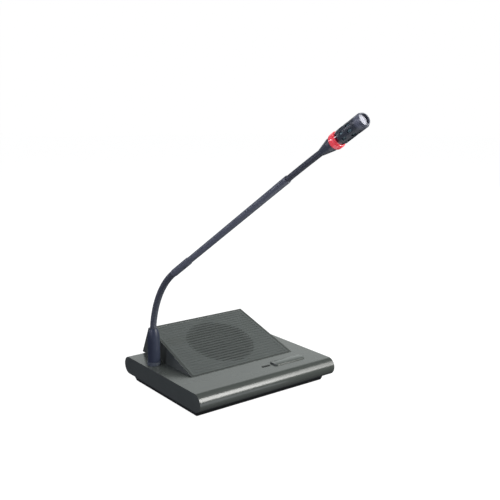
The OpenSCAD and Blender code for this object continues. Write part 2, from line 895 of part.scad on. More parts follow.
// Moulded slab with round edges, and every opening in it
module top_shell() {
    color(HOUSING) difference() {
        union() {
            difference() {
                across(slab_w) edge_outline(0);
                across(slab_w - 2 * wall) edge_outline(wall);
                wedge_cuts();
                translate([0, 0, slab_z - cut])
                    plate(hole_w, hole_d, cover_r - cover_lap / 2, wall + 2 * cut);
            }
            shell_posts();
        }
        shell_post_holes();
        translate([talk_x, talk_y, ceiling_z - cut]) plate(talk_w, talk_d, talk_r, wall + 2 * cut);
        translate([lens_x, talk_y, ceiling_z - cut]) plate(lens_w, lens_d, lens_d / 4, wall + 2 * cut);
        on_neck_foot() translate([0, 0, -wall - cut])
            cylinder(d = bush_d + 2 * fit, h = wall + 2 * cut);
    }
}

// Moulded wedge on the slab, open below, with the holes for the sockets
module wedge_shell() {
    color(HOUSING) difference() {
        wedge_body();
        wedge_cuts();
        on_sockets() translate([0, 0, -wall - cut])
            cylinder(d = socket_barrel_d + 2 * fit, h = wall + 2 * cut);
    }
}

// Ribbed panel over the loudspeaker, with posts for the loudspeaker behind it
module grille_panel() {
    color(GRILLE) difference() {
        union() {
            on_slope() translate([0, 0, -grille_t]) linear_extrude(grille_t)
                slope_outline(grille_border + fit);
            on_speaker() translate([0, 0, frame_z]) four(speaker_ear, speaker_ear)
                cylinder(d = post_d, h = cloth_z - frame_z + (grille_t - groove_depth) / 2);
        }
        on_slope() for (s = groove_rows()) {
            half = slope_half(s) - grille_border - fit - groove_margin;
            translate([-half, s - groove_w / 2, -groove_depth])
                cube([2 * half, groove_w, groove_depth + cut]);
        }
        on_slope() intersection() {
            translate([0, speaker_up, -grille_t - cut]) cylinder(r = sound_r, h = grille_t + 2 * cut);
            for (s = groove_rows())
                translate([-sound_r, s - slot_w / 2, -grille_t - cut])
                    cube([2 * sound_r, slot_w, grille_t + cut]);
        }
        on_speaker() translate([0, 0, frame_z - cut]) four(speaker_ear, speaker_ear)
            cylinder(d = screw_hole_d, h = cloth_z - frame_z + cut);
    }
}

// Black acoustic cloth behind the sound slots
module grille_cloth() {
    color(BLACK) on_speaker() translate([0, 0, gasket_z]) cylinder(r = sound_r + cloth_over, h = cloth_t);
}

// Foam ring between the cloth and the loudspeaker's frame
module speaker_gasket() {
    color(BLACK) on_speaker() translate([0, 0, frame_z])
        ring(2 * (sound_r + gasket_over), 2 * (frame_hole_r + roll_lip + fit), gasket_t);
}

// Pressed steel frame: square front, tapered basket with windows and a flat neck
module speaker_frame() {
    windows = 4;
    window_w = frame_hole_r / 2;
    window_in = 3;
    window_low = 1.6;
    window_h = basket_h - 2.5 * window_low;
    color(STEEL) on_speaker() difference() {
        union() {
            translate([0, 0, frame_z - frame_t]) linear_extrude(frame_t) difference() {
                intersection() {
                    square(speaker_side, center = true);
                    circle(frame_corner_r);
                }
                circle(frame_hole_r);
            }
            rotate_extrude() polygon([
                [plate_bore_r, plate_z], [basket_neck_r + frame_t, plate_z],
                [frame_hole_r + frame_t, frame_z - frame_t], [frame_hole_r + frame_t, frame_z],
                [frame_hole_r, frame_z], [frame_hole_r, frame_z - frame_t],
                [basket_neck_r, basket_z], [plate_bore_r, basket_z]
            ]);
        }
        translate([0, 0, frame_z - frame_t - cut]) four(speaker_ear, speaker_ear)
            cylinder(d = screw_hole_d, h = frame_t + 2 * cut);
        for (i = [0 : windows - 1]) rotate([0, 0, 90 * i])
            translate([basket_neck_r + window_in, -window_w / 2, basket_z + window_low])
                cube([frame_hole_r, window_w, window_h]);
    }
}

// Half-roll edge that carries the cone
module speaker_surround() {
    color(BLACK) on_speaker() translate([0, 0, frame_z]) rotate_extrude()
        translate([frame_hole_r - roll_r, 0]) difference() {
            union() {
                circle(roll_r);
                square([roll_r + roll_lip, paper_t]);
            }
            circle(roll_r - paper_t);
            translate([-roll_r - cut, -roll_r - cut]) square([2 * (roll_r + cut), roll_r + cut]);
        }
}

// Paper cone
module speaker_cone() {
    color(PAPER) on_speaker() rotate_extrude() polygon([
        [coil_r, cone_low_z], [cone_top_r, frame_z], [cone_top_r + paper_t, frame_z],
        [coil_r + paper_t, cone_low_z - paper_t], [coil_r, cone_low_z - paper_t]
    ]);
}

// Domed cap over the voice coil
module dust_cap() {
    dome_r = 2 * coil_r;
    dome_drop = sqrt(dome_r * dome_r - coil_r * coil_r);
    color(PAPER) on_speaker() translate([0, 0, cone_low_z - dome_drop])
        rotate_extrude() intersection() {
            difference() {
                circle(dome_r);
                circle(dome_r - paper_t);
            }
            translate([0, dome_drop]) square([coil_r, dome_r]);
        }
}

// Voice coil on its former
module voice_coil() {
    coil_top = cone_low_z - paper_t;
    coil_low = magnet_z + coil_t;
    color(BRASS) on_speaker() translate([0, 0, coil_low])
        ring(2 * coil_r, 2 * (coil_r - coil_t), coil_top - coil_low);
}

// Corrugated ring that centres the voice coil
module spider() {
    in_r = coil_r + pilot_gap;
    out_r = basket_neck_r - 2 * fit;
    land = 1;
    waves = 3;
    wave = (out_r - in_r - 2 * land) / waves;
    color(BRASS) on_speaker() translate([0, 0, basket_z + pilot_gap]) rotate_extrude() {
        translate([in_r, 0]) square([out_r - in_r, paper_t]);
        for (i = [0 : waves - 1])
            translate([in_r + land + wave * (i + 1 / 2), paper_t]) intersection() {
                circle(wave / 4);
                translate([-wave, 0]) square([2 * wave, wave]);
            }
    }
}

// Steel plate in front of the magnet
module top_plate() {
    color(STEEL) on_speaker() translate([0, 0, magnet_z]) ring(2 * magnet_r, 2 * plate_bore_r, plate_t);
}

// Ferrite ring magnet
module magnet() {
    color(FERRITE) on_speaker() translate([0, 0, yoke_z]) ring(2 * magnet_r, 2 * magnet_bore_r, magnet_h);
}

// Steel back plate with the pole in its middle
module yoke() {
    color(STEEL) on_speaker() {
        translate([0, 0, yoke_z - plate_t]) cylinder(r = magnet_r, h = plate_t);
        translate([0, 0, yoke_z]) cylinder(r = pole_r, h = plate_z - yoke_z);
    }
}

// Screws that hold the loudspeaker to the grille panel
module speaker_screws() {
    color(STEEL) on_speaker() translate([0, 0, frame_z - frame_t]) four(speaker_ear, speaker_ear)
        screw(gasket_t + frame_t - screw_spare / 2);
}

// Shallow tray that closes the slab from below
module bottom_cover() {
    inner_w = hole_w - 2 * fit;
    inner_d = hole_d - 2 * fit;
    lip_r = cover_r - cover_lap / 2;
    color(BLACK) difference() {
        union() {
            translate([0, 0, cover_z]) intersection() {
                plate(cover_w, cover_d, cover_r, cover_h);
                drafted_block(cover_w, cover_d, cover_h, cover_draft);
            }
            translate([0, 0, cover_z]) plate(inner_w, inner_d, lip_r, cover_h + cover_lip);
        }
        difference() {
            translate([0, 0, cover_floor_z])
                plate(inner_w - 2 * cover_wall, inner_d - 2 * cover_wall, lip_r / 2, cover_h + cover_lip);
            translate([0, 0, cover_z]) four(cover_screw_x, cover_screw_y)
                cylinder(d = boss_d, h = cover_h);
            translate([0, 0, cover_z]) four(ballast_screw_x, ballast_screw_y)
                cylinder(d = boss_d, h = ballast_z - cover_z);
        }
        translate([0, 0, cover_z + cover_h]) four(cover_screw_x, cover_screw_y)
            cylinder(d = boss_d + 2 * fit, h = cover_lip + cut);
        translate([0, 0, cover_z - cut]) four(cover_screw_x, cover_screw_y) {
            cylinder(d = screw_hole_d, h = cover_h + 2 * cut);
            cylinder(d = head_hole_d, h = screw_head_h + screw_sink + cut);
        }
        translate([0, 0, cover_floor_z - ballast_pilot]) four(ballast_screw_x, ballast_screw_y)
            cylinder(d = screw_hole_d, h = ballast_post_h + ballast_pilot + cut);
        translate([0, 0, cover_z - cut])
            plate(mat_w + 2 * fit, mat_d + 2 * fit, cover_r, mat_sink + cut);
    }
}

// Screws that hold the bottom cover to the housing
module cover_screws() {
    seat = screw_head_h + screw_sink;
    color(STEEL) translate([0, 0, cover_z + seat]) four(cover_screw_x, cover_screw_y)
        screw(cover_h + cover_screw_bite - seat);
}

// Rubber mat that the base stands on
module anti_slip_mat() {
    color(BLACK) plate(mat_w, mat_d, cover_r - fit, mat_t);
}

// Steel plate that keeps the base from tipping
module ballast_plate() {
    color(STEEL) translate([0, 0, ballast_z]) difference() {
        plate(ballast_w, ballast_d, cover_r, ballast_t);
        translate([0, 0, -cut]) four(ballast_screw_x, ballast_screw_y)
            cylinder(d = screw_hole_d, h = ballast_t + 2 * cut);
    }
}

// Screws that hold the ballast plate
module ballast_screws() {
    color(STEEL) translate([0, 0, ballast_z + ballast_t]) four(ballast_screw_x, ballast_screw_y)
        rotate([180, 0, 0]) screw(ballast_t + ballast_post_h + ballast_pilot - fit);
}

// Circuit board under the front panel
module circuit_board() {
    color(BOARD) translate([board_x, board_y, board_z - board_t]) difference() {
        plate(board_w, board_d, board_r, board_t);
        translate([0, 0, -cut]) four(board_hole_x, board_hole_y)
            cylinder(d = screw_hole_d, h = board_t + 2 * cut);
    }
}

// Screws that hold the circuit board
module board_screws() {
    color(STEEL) translate([board_x, board_y, board_z - board_t]) four(board_hole_x, board_hole_y)
        screw(board_t + board_room - wall - screw_spare);
}

// Electrolytic capacitors of the loudspeaker amplifier
module capacitors() {
    color(BLACK) for (i = [0 : cap_count - 1])
        translate([cap_x - cap_pitch * i, cap_y, board_z]) cylinder(d = cap_d, h = cap_h);
}

// Amplifier chip with its row of legs
module amplifier_chip() {
    chip_w = 10;
    chip_d = 6;
    chip_t = 2.2;
    chip_lift = 0.3;
    legs = 5;
    leg_pitch = chip_w / legs;
    leg_w = leg_pitch / 2;
    leg_t = 0.6;
    leg_out = 1.4;
    color(BLACK) translate([chip_x, chip_y, board_z]) {
        translate([-chip_w / 2, -chip_d / 2, chip_lift]) cube([chip_w, chip_d, chip_t]);
        for (i = [0 : legs - 1])
            translate([(i - (legs - 1) / 2) * leg_pitch - leg_w / 2, -chip_d / 2 - leg_out, 0])
                cube([leg_w, chip_d + 2 * leg_out, leg_t]);
    }
}

// Plug headers for the neck, the loudspeaker and the sockets
module board_headers() {
    places = [neck_header_x, speaker_header_x, socket_header_x];
    color(IVORY) for (x = places) translate([x, header_y, board_z]) difference() {
        translate([-header_w / 2, -header_d / 2, 0]) cube([header_w, header_d, header_h]);
        translate([-header_w / 2 + header_wall, -header_d / 2 + header_wall, header_wall])
            cube([header_w - 2 * header_wall, header_d - 2 * header_wall, header_h]);
    }
}

// Case of the key switch, with the bore for its plunger
module switch_case() {
    color(BLACK) translate([talk_x, talk_y, board_z]) difference() {
        translate([-switch_w / 2, -switch_w / 2, 0]) cube([switch_w, switch_w, switch_h]);
        translate([0, 0, switch_h - plunger_in - talk_travel - run])
            cylinder(d = plunger_d + 2 * plunger_fit, h = plunger_in + talk_travel + run + cut);
    }
}

// Plunger of the key switch, which goes down with the button
module switch_plunger() {
    plunger_low = board_z + switch_h - plunger_in;
    color(IVORY) translate([talk_x, talk_y, plunger_low])
        cylinder(d = plunger_d, h = plunger_top_z - plunger_low);
}

// Talk button: a crowned bar with a stop flange and a post over the switch
module talk_button() {
    bar_w = talk_w - 2 * run;
    bar_d = talk_d - 2 * run;
    bar_r = talk_r - run;
    top = top_z + talk_rise;
    step = 0.5;
    roof = top - talk_wall;
    color(BUTTON) translate([talk_x, talk_y, 0]) difference() {
        union() {
            translate([0, 0, talk_flange_z])
                plate(bar_w, bar_d, bar_r, top - step - talk_flange_z);
            translate([0, 0, top - step])
                plate(bar_w - 2 * step, bar_d - 2 * step, bar_r - step, step);
            translate([0, 0, talk_flange_z])
                plate(talk_w + 2 * talk_flange, talk_d + 2 * talk_flange, talk_r, talk_flange_t);
            translate([-post_w / 2, -post_w / 2, plunger_top_z])
                cube([post_w, post_w, roof - plunger_top_z]);
        }
        difference() {
            translate([0, 0, talk_flange_z - cut]) plate(
                bar_w - 2 * talk_wall, bar_d - 2 * talk_wall, bar_r / 2, roof - talk_flange_z + cut
            );
            translate([-post_w / 2, -post_w / 2, plunger_top_z - cut])
                cube([post_w, post_w, top - plunger_top_z]);
        }
    }
}

// Clear window over the indicator
module indicator_lens() {
    lens_r = lens_d / 4;
    flange_w = lens_w + 2 * lens_flange;
    flange_d = lens_d + 2 * lens_flange;
    color(SMOKED) translate([lens_x, talk_y, 0]) {
        translate([0, 0, ceiling_z])
            plate(lens_w - 2 * fit, lens_d - 2 * fit, lens_r - fit, wall + lens_rise);
        translate([0, 0, ceiling_z - lens_flange_t])
            plate(flange_w, flange_d, lens_r + lens_flange, lens_flange_t);
    }
}

// Light-emitting diode under the window
module indicator_led() {
    led_h = board_room - lens_flange_t - fit;
    color(RED) translate([lens_x, talk_y, board_z]) rotate_extrude() {
        square([led_d / 2 + led_brim, led_base_h]);
        square([led_d / 2, led_h - led_d / 2]);
        translate([0, led_h - led_d / 2]) intersection() {
            circle(led_d / 2);
            square(led_d / 2);
        }
    }
}

// Round sockets for the unit's bus cables: flange, barrel and a shoulder for the insert
module bus_sockets() {
    color(BLACK) on_sockets() difference() {
        union() {
            cylinder(d = socket_flange_d, h = socket_flange_t);
            translate([0, 0, socket_flange_t - socket_back])
                cylinder(d = socket_barrel_d, h = socket_back);
        }
        translate([0, 0, socket_flange_t - socket_depth])
            cylinder(d = socket_bore, h = socket_depth + cut);
        translate([0, 0, socket_flange_t - socket_back - cut])
            cylinder(d = socket_bore - 2 * insert_step, h = socket_back + cut);
    }
}

// Contact inserts in the bottom of the sockets
module socket_inserts() {
    color(BLACK) on_sockets() translate([0, 0, socket_flange_t - socket_back]) difference() {
        cylinder(d = socket_bore - 2 * insert_step - 2 * pilot_gap, h = insert_t);
        for (i = [0 : contacts - 1]) rotate([0, 0, 360 * (i + 0.5) / contacts])
            translate([contact_circle_r, 0, insert_t - contact_depth])
                cylinder(d = contact_d, h = contact_depth + cut);
    }
}

// Ring nuts that hold the sockets from inside
module socket_nuts() {
    color(STEEL) on_sockets() translate([0, 0, -wall - socket_nut_t])
        ring(socket_nut_d, socket_barrel_d + 2 * pilot_gap, socket_nut_t);
}

// Hollow threaded bush that carries the neck through the top wall
module neck_bush() {
    color(BRASS) on_neck_foot() translate([0, 0, -wall - bush_below])
        ring(bush_d, bush_bore_d, bush_below + wall + collar_h + bush_in);
}

// Washer under the neck's nut
module neck_washer() {
    color(STEEL) on_neck_foot() translate([0, 0, -wall - washer_t])
        ring(washer_d, bush_d + 2 * pilot_gap, washer_t);
}

// Hexagon nut on the bush
module neck_nut() {
    color(BRASS) on_neck_foot() translate([0, 0, -wall - washer_t - nut_t]) difference() {
        cylinder(d = nut_af / cos(30), h = nut_t, $fn = 6);
        translate([0, 0, -cut]) cylinder(d = bush_d + 2 * pilot_gap, h = nut_t + 2 * cut);
    }
}

// Collar ring between the housing and the sleeve
module neck_collar() {
    groove = 0.5;
    color(COLLAR) on_neck_foot() difference() {
        ring(collar_d, bush_d + 2 * pilot_gap, collar_h);
        translate([0, 0, collar_h - 2 * groove])
            ring(collar_d + 2 * cut, collar_d - 2 * groove, groove);
    }
}

// Bullet-shaped sleeve that holds the foot of the lower tube
module neck_sleeve() {
    seat_z = sleeve_h - tube_in - run;
    bush_z = collar_h + bush_in + fit;
    sleeve_r = sleeve_d / 2;
    color(NECK) on_neck_foot() rotate_extrude() difference() {
        polygon(concat(
            [[0, sleeve_h], [0, collar_h], [sleeve_r, collar_h]],
            [for (i = [0 : nose_steps])
                let (a = nose_a * i / nose_steps)
                [sleeve_r - nose_r * (1 - cos(a)), sleeve_h - nose_h + nose_r * sin(a)]]
        ));
        translate([0, -cut]) square([bush_d / 2 + pilot_gap, bush_z + cut]);
        square([bush_bore_d / 2, sleeve_h]);
        translate([0, seat_z]) square([sleeve_seat_d / 2, sleeve_h]);
    }
}

// Lower flexible tube, from the sleeve to the ferrule
module lower_flex() {
    color(NECK) ribbed_tube(-tube_in, flex_l + tube_in, flex_d, flex_bore, flex_pitch);
}

// Sleeve over the joint of the lower tube and the stem
module ferrule() {
    tip = 1;
    color(NECK) on_stem(0) rotate_extrude() difference() {
        polygon([
            [0, 0], [ferrule_d / 2 - tip / 2, 0], [ferrule_d / 2, tip],
            [ferrule_d / 2, ferrule_l - tip], [ferrule_d / 2 - tip / 2, ferrule_l], [0, ferrule_l]
        ]);
        translate([0, -cut]) square([flex_end_d / 2 + run, stem_from + cut]);
        square([stem_d / 2 + pilot_gap / 2, ferrule_l + cut]);
    }
}

// Rigid stem tube, bored out at its upper end for the upper tube
module stem() {
    color(NECK) on_stem(0) rotate_extrude() difference() {
        translate([0, stem_from]) square([stem_d / 2, stem_end - stem_from]);
        square([stem_bore_d / 2, stem_end + cut]);
        translate([0, stem_end - tube_plain]) square([upper_end_d / 2 + run, tube_plain + cut]);
    }
}

// Upper flexible tube, from the stem to the head
module upper_flex() {
    from = flex_l + stem_end - tube_in;
    to = flex_l + cone_from + tube_in;
    color(NECK) ribbed_tube(from, to, upper_d, upper_bore, upper_pitch);
}

// Microphone lead inside the neck, from the bush to the capsule
module neck_lead() {
    length = flex_l + lead_end - lead_from;
    steps = ceil(length / lead_step);
    color(LEAD) rod([
        for (i = [0 : steps]) neck_ring(lead_from + length * i / steps, lead_d / 2, lead_sides)
    ]);
}

// Lead from the neck's bush to the circuit board
module base_lead() {
    color(LEAD) lead_along(concat(
        [for (step = plug_steps) neck_plug + step],
        [neck_plug + neck_plug_step],
        [for (step = bush_steps) bush_low + step]
    ));
}

// Pair of leads from the board to the loudspeaker's terminals
module speaker_leads() {
    color(LEAD) for (side = [-1, 1]) lead_along(concat(
        [for (step = plug_steps) speaker_plug + step + [side * lead_pitch / 2, 0, 0]],
        [speaker_plug + speaker_plug_step + [side * lead_pitch / 2, 0, 0]],
        [for (step = magnet_steps) speaker_point(step + [0, 0, side * terminal_pitch / 2])]
    ));
}

// Leads from the board to the two sockets
module socket_leads() {
    color(LEAD) for (side = [-1, 1]) {
        plug = socket_plug + [side * lead_pitch / 2, 0, 0];
        socket = [side * socket_pitch / 2, socket_back_y, socket_back_z];
        lead_along(concat(
            [for (step = plug_steps) plug + step],
            [for (step = socket_steps) plug + step + [side, 0, side] * lead_pitch / 2],
            side < 0 ? [plug + socket_cross_step] : [],
            [for (step = socket_end_steps) socket + step]
        ));
    }
}

// Tapered cone between the upper tube and the light ring
module head_cone() {
    cone_wall = 0.8;
    land = 4;
    floor_t = 1;
    narrow_r = upper_d / 2 + run;
    spigot_r = spigot_d / 2 - fit;
    hollow_r = spigot_r - fit - cone_wall;
    hollow_z = tube_plain + floor_t;
    end_z = cone_l + spigot_l;
    color(NECK) on_head(cone_from) rotate_extrude() difference() {
        union() {
            polygon([
                [0, 0], [narrow_r, 0], [cone_d / 2, cone_l - land], [cone_d / 2, cone_l], [0, cone_l]
            ]);
            translate([0, cone_l]) square([spigot_r, spigot_l]);
        }
        translate([0, -cut]) square([upper_end_d / 2 + run, tube_plain + cut]);
        square([upper_bore / 2, end_z + cut]);
        polygon([
            [0, hollow_z], [upper_bore / 2, hollow_z], [hollow_r, cone_l + floor_t],
            [hollow_r, end_z + cut], [0, end_z + cut]
        ]);
    }
}

// Translucent ring that lights up while the microphone is on
module light_ring() {
    round = 1.4;
    color(RED) on_head(ring_from) rotate_extrude() difference() {
        union() {
            translate([0, round]) square([ring_d / 2, ring_l - 2 * round]);
            square([ring_d / 2 - round, ring_l]);
            for (z = [round, ring_l - round]) translate([ring_d / 2 - round, z]) circle(round);
            square([ring_neck_d / 2, ring_l + ring_neck_l]);
        }
        translate([0, -cut]) square([ring_bore_d / 2, ring_l + ring_neck_l + 2 * cut]);
    }
}

// Round board with the ring's light-emitting diodes
module ring_leds() {
    leds = 6;
    led_h = led_size / 2;
    led_x = led_ring_d / 2 - led_size - led_brim;
    color(BOARD) on_head(ring_from + spigot_l + fit) {
        ring(led_ring_d, lead_d + 2 * run, led_ring_t);
        for (i = [0 : leds - 1]) rotate([0, 0, 360 * i / leds])
            translate([led_x, -led_size / 2, led_ring_t]) cube([led_size, led_size, led_h]);
    }
}

// Slotted sleeve around the capsule, with the mouth in its front
module head_sleeve() {
    flare = 0.4;
    head_r = head_d / 2;
    mouth_r = mouth_d / 2;
    spigot_r = spigot_d / 2 - fit;
    row_pitch = head_slot_l + slot_row_gap;
    color(BLACK) on_head(head_from) difference() {
        rotate_extrude() difference() {
            union() {
                polygon([
                    [0, 0], [head_r, 0], [head_r, head_l - rim_l],
                    [head_r - rim_in, head_l], [0, head_l]
                ]);
                translate([0, -spigot_l]) square([spigot_r, spigot_l]);
            }
            translate([0, -spigot_l - cut]) square([spigot_r - head_wall, spigot_l + 2 * cut]);
            translate([0, cut]) square([shell_in_d / 2, head_l - mouth_t - cut]);
            translate([0, head_l - mouth_t]) polygon([
                [0, -cut], [mouth_r, -cut], [mouth_r, 0],
                [mouth_r + flare, mouth_t], [mouth_r + flare, mouth_t + cut], [0, mouth_t + cut]
            ]);
        }
        for (row = [0, 1], i = [0 : head_slots - 1])
            rotate([0, 0, 360 * (i + row / 2) / head_slots])
                translate([0, -head_slot_w / 2, slot_rows_in + row * row_pitch])
                    cube([head_d, head_slot_w, head_slot_l]);
    }
}

// Woven wire liner behind the slots
module head_mesh() {
    liner_d = shell_in_d - fit;
    liner_l = 2 * head_slot_l + slot_row_gap + 2 * liner_over;
    color(STEEL) on_head(slot_rows_from - liner_over) ring(liner_d, liner_d - 2 * mesh_t, liner_l);
}

// Rubber boot that holds the capsule
module capsule_boot() {
    boot_from = capsule_front - boot_l;
    color(BLACK) on_head(boot_from) difference() {
        cylinder(d = shell_in_d - 2 * pilot_gap, h = boot_l);
        translate([0, 0, boot_back]) cylinder(d = capsule_d + pilot_gap, h = boot_l);
        translate([0, 0, -cut]) cylinder(d = lead_d + 2 * run, h = boot_l);
    }
}

// Electret capsule with its sound hole
module capsule() {
    color(STEEL) on_head(capsule_back) difference() {
        cylinder(d = capsule_d, h = capsule_l);
        translate([0, 0, capsule_l - port_depth]) cylinder(d = port_d, h = port_depth + cut);
    }
}

// Bright wire mesh in the mouth
module mouth_mesh() {
    color(SILVER) on_head(head_end - mouth_t - mesh_t)
        cylinder(d = shell_in_d - 2 * pilot_gap, h = mesh_t);
}

top_shell();
wedge_shell();
grille_panel();
grille_cloth();
speaker_gasket();
speaker_frame();
speaker_surround();
speaker_cone();
dust_cap();
voice_coil();
spider();
top_plate();
magnet();
yoke();
speaker_screws();
bottom_cover();
cover_screws();
anti_slip_mat();
ballast_plate();
ballast_screws();
circuit_board();
board_screws();
capacitors();
amplifier_chip();
board_headers();
switch_case();
switch_plunger();
talk_button();
indicator_lens();
indicator_led();
bus_sockets();
socket_inserts();
socket_nuts();
neck_bush();
neck_washer();
neck_nut();
neck_collar();
neck_sleeve();
lower_flex();
ferrule();
stem();
upper_flex();
neck_lead();
base_lead();
speaker_leads();
socket_leads();
head_cone();
light_ring();
ring_leds();
head_sleeve();
head_mesh();
capsule();
capsule_boot();
mouth_mesh();
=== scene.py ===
# %% [markdown]
# A desk conference microphone, dressed for a photograph.
# The solids of the housing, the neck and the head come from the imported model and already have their
# real sizes, so this lesson keeps them, rounds their edges and gives each one the finish it has on a
# real desk. Only two kinds of piece are made here: those that bend, which are the two wound tubes and
# the lead inside them, and the bar of the talk button, whose crowned top the solid doesn't have.

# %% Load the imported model
import math
import bpy
from mathutils import Matrix, Vector


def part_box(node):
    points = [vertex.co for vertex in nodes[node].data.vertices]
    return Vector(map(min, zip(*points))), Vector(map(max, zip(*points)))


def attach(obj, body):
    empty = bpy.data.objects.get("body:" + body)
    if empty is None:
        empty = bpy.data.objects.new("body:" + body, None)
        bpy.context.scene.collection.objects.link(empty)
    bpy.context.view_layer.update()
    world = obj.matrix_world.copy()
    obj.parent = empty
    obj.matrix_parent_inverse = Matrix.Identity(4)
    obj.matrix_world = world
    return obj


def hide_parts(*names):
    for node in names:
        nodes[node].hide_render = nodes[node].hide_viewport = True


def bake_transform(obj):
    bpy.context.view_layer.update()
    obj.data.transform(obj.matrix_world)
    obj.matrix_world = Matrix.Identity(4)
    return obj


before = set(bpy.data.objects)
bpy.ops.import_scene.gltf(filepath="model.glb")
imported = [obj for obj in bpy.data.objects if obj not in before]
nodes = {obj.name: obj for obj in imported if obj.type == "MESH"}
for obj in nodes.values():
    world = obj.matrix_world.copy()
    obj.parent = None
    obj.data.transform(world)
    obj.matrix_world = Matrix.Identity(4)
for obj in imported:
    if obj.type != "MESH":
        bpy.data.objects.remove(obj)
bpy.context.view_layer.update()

scene = bpy.context.scene
MM = 0.001

# %% [markdown]
# The camera stands to the left of the desk and a little above it, about a metre away. Its place was
# worked out from the base's corners and the neck. A camera could be aimed with a Track To constraint,
# but three axes written into its matrix say exactly where right, up and back are, and nothing can
# roll.

# %% Place the camera
camera_turn = math.radians(-37.18)
camera_rise = math.radians(11.60)
camera_place = (-529.57, -742.12, 355.60)
camera_lens = 55.07
camera_sensor = 36
right = Vector((math.cos(camera_turn), math.sin(camera_turn), 0))
back = Vector((
    math.sin(camera_turn) * math.cos(camera_rise),
    -math.cos(camera_turn) * math.cos(camera_rise),
    math.sin(camera_rise),
))
up = back.cross(right)
camera = bpy.data.objects.new("desk_camera", bpy.data.cameras.new("desk_camera"))
camera.data.lens = camera_lens
camera.data.sensor_width = camera_sensor
camera.matrix_world = Matrix((
    (right.x, up.x, back.x, camera_place[0] * MM),
    (right.y, up.y, back.y, camera_place[1] * MM),
    (right.z, up.z, back.z, camera_place[2] * MM),
    (0, 0, 0, 1),
))
scene.collection.objects.link(camera)
scene.camera = camera
scene.view_settings.view_transform = "Standard"
print("camera at", [round(c, 3) for c in camera.location], "lens", round(camera.data.lens, 2), "mm")

# %% [markdown]
# One helper writes colours: a hex value is how a colour looks on a screen (sRGB), and Blender counts
# light, so each channel is turned to linear before it goes into a socket. The numbers are those of the
# sRGB standard: a straight foot for the darkest tones and a power curve above it.
# The next adds a shader node, sets its values and joins its inputs. A setting is a property of the node
# where it has one of that name, and otherwise one of its input sockets, by name or by number.
# The last starts a material. A value that is the same all over goes straight onto a socket of its
# shader, because a node that only holds a number would say no more.

# %% Colour and node helpers
def linear(hex_colour):
    channels = [int(hex_colour[i:i + 2], 16) / 255 for i in (1, 3, 5)]
    return [c / 12.92 if c <= 0.04045 else ((c + 0.055) / 1.055) ** 2.4 for c in channels] + [1]


def add_node(tree, kind, settings=None, links=None):
    node = tree.nodes.new("ShaderNode" + kind)
    for key, value in (settings or {}).items():
        if isinstance(key, str) and hasattr(node, key):
            setattr(node, key, value)
        else:
            node.inputs[key].default_value = value
    for key, socket in (links or {}).items():
        tree.links.new(socket, node.inputs[key])
    return node


def blank_finish(name, sockets):
    finish = bpy.data.materials.new(name)
    finish.use_nodes = True
    shader = finish.node_tree.nodes["Principled BSDF"]
    for socket, value in sockets.items():
        shader.inputs[socket].default_value = value
    return finish, finish.node_tree, shader


print("dark housing grey in linear light:", [round(c, 3) for c in linear("#414542")[:3]])

# %% [markdown]
# Some meshes are made here: the floor and the dome behind it, the bar of the button, the tubes and the
# lead. All but the flat floor are rows of rings with the same number of points, and neighbouring rings
# are joined by four-sided faces. A Skin modifier could do that too, but a mesh from its own points has
# just the faces that it needs, and no stray ones.

# %% Mesh helpers
def quads_between(rows, sides, closed=False):
    faces = []
    for row in range(rows if closed else rows - 1):
        low = row * sides
        high = (row + 1) % rows * sides
        for i in range(sides):
            k = (i + 1) % sides
            faces.append((low + i, low + k, high + k, high + i))
    return faces


def new_piece(name, points, faces, finish):
    mesh = bpy.data.meshes.new(name)
    mesh.from_pydata(points, [], faces)
    mesh.materials.append(finish)
    piece = bpy.data.objects.new(name, mesh)
    scene.collection.objects.link(piece)
    return piece


print("two rings of four points make", len(quads_between(2, 4)), "faces")

# %% [markdown]
# The floor is a pale table that runs far beyond the picture, and behind it stands a pale dome. A table
# that lights the object from below would fill the shadow under the base's round edge, so both are kept
# out of the light that reaches the object: only the camera sees them. Both glow by themselves, so they
# stay pale without a lamp of their own, and the table is a little less than white where a shadow falls.
# Their sizes are in metres, apart from the gap under the base, which keeps the two faces apart.

# %% Floor and backdrop
def stage_sheet(name, points, faces, glow, colour):
    paint, _, _ = blank_finish(name + "_paint", {
        "Base Color": linear(colour),
        "Roughness": 0.9,
        "Emission Color": linear("#ffffff"),
        "Emission Strength": glow,
    })
    sheet = new_piece(name, points, faces, paint)
    sheet.visible_diffuse = False
    sheet.visible_glossy = False
    sheet.visible_transmission = False
    return sheet


table_half = 6.0
table_gap = 0.1 * MM
table_corners = ((-1, -1), (1, -1), (1, 1), (-1, 1))
table_points = [(x * table_half, y * table_half, -table_gap) for x, y in table_corners]
table_glow = 0.985
table = stage_sheet("pale_table", table_points, [(0, 1, 2, 3)], table_glow, "#5a5a5a")
dome_steps = 48
dome_rows = 6
dome_sink = 1
dome_glow = 1.0
dome_points = []
for row in range(dome_rows):
    rise = row / dome_rows * math.pi / 2
    reach = table_half * math.cos(rise)
    height = table_half * math.sin(rise) - dome_sink
    for step in range(dome_steps):
        turn = 2 * math.pi * step / dome_steps
        dome_points.append((reach * math.cos(turn), reach * math.sin(turn), height))
dome_faces = quads_between(dome_rows, dome_steps)
backdrop = stage_sheet("pale_backdrop", dome_points, dome_faces, dome_glow, "#000000")
backdrop.visible_shadow = False
print("floor and backdrop:", table.name, backdrop.name)

# %% [markdown]
# A studio lights small things with soft boxes, which are lamps behind a sheet of cloth. In Blender that
# is an area lamp. A point lamp would be simpler to place, but a glossy edge mirrors it as a hard dot.
# A lamp shines along its own -Z axis, and to_track_quat turns that axis to the aim. The camera doesn't
# see the boxes themselves, only what they do.

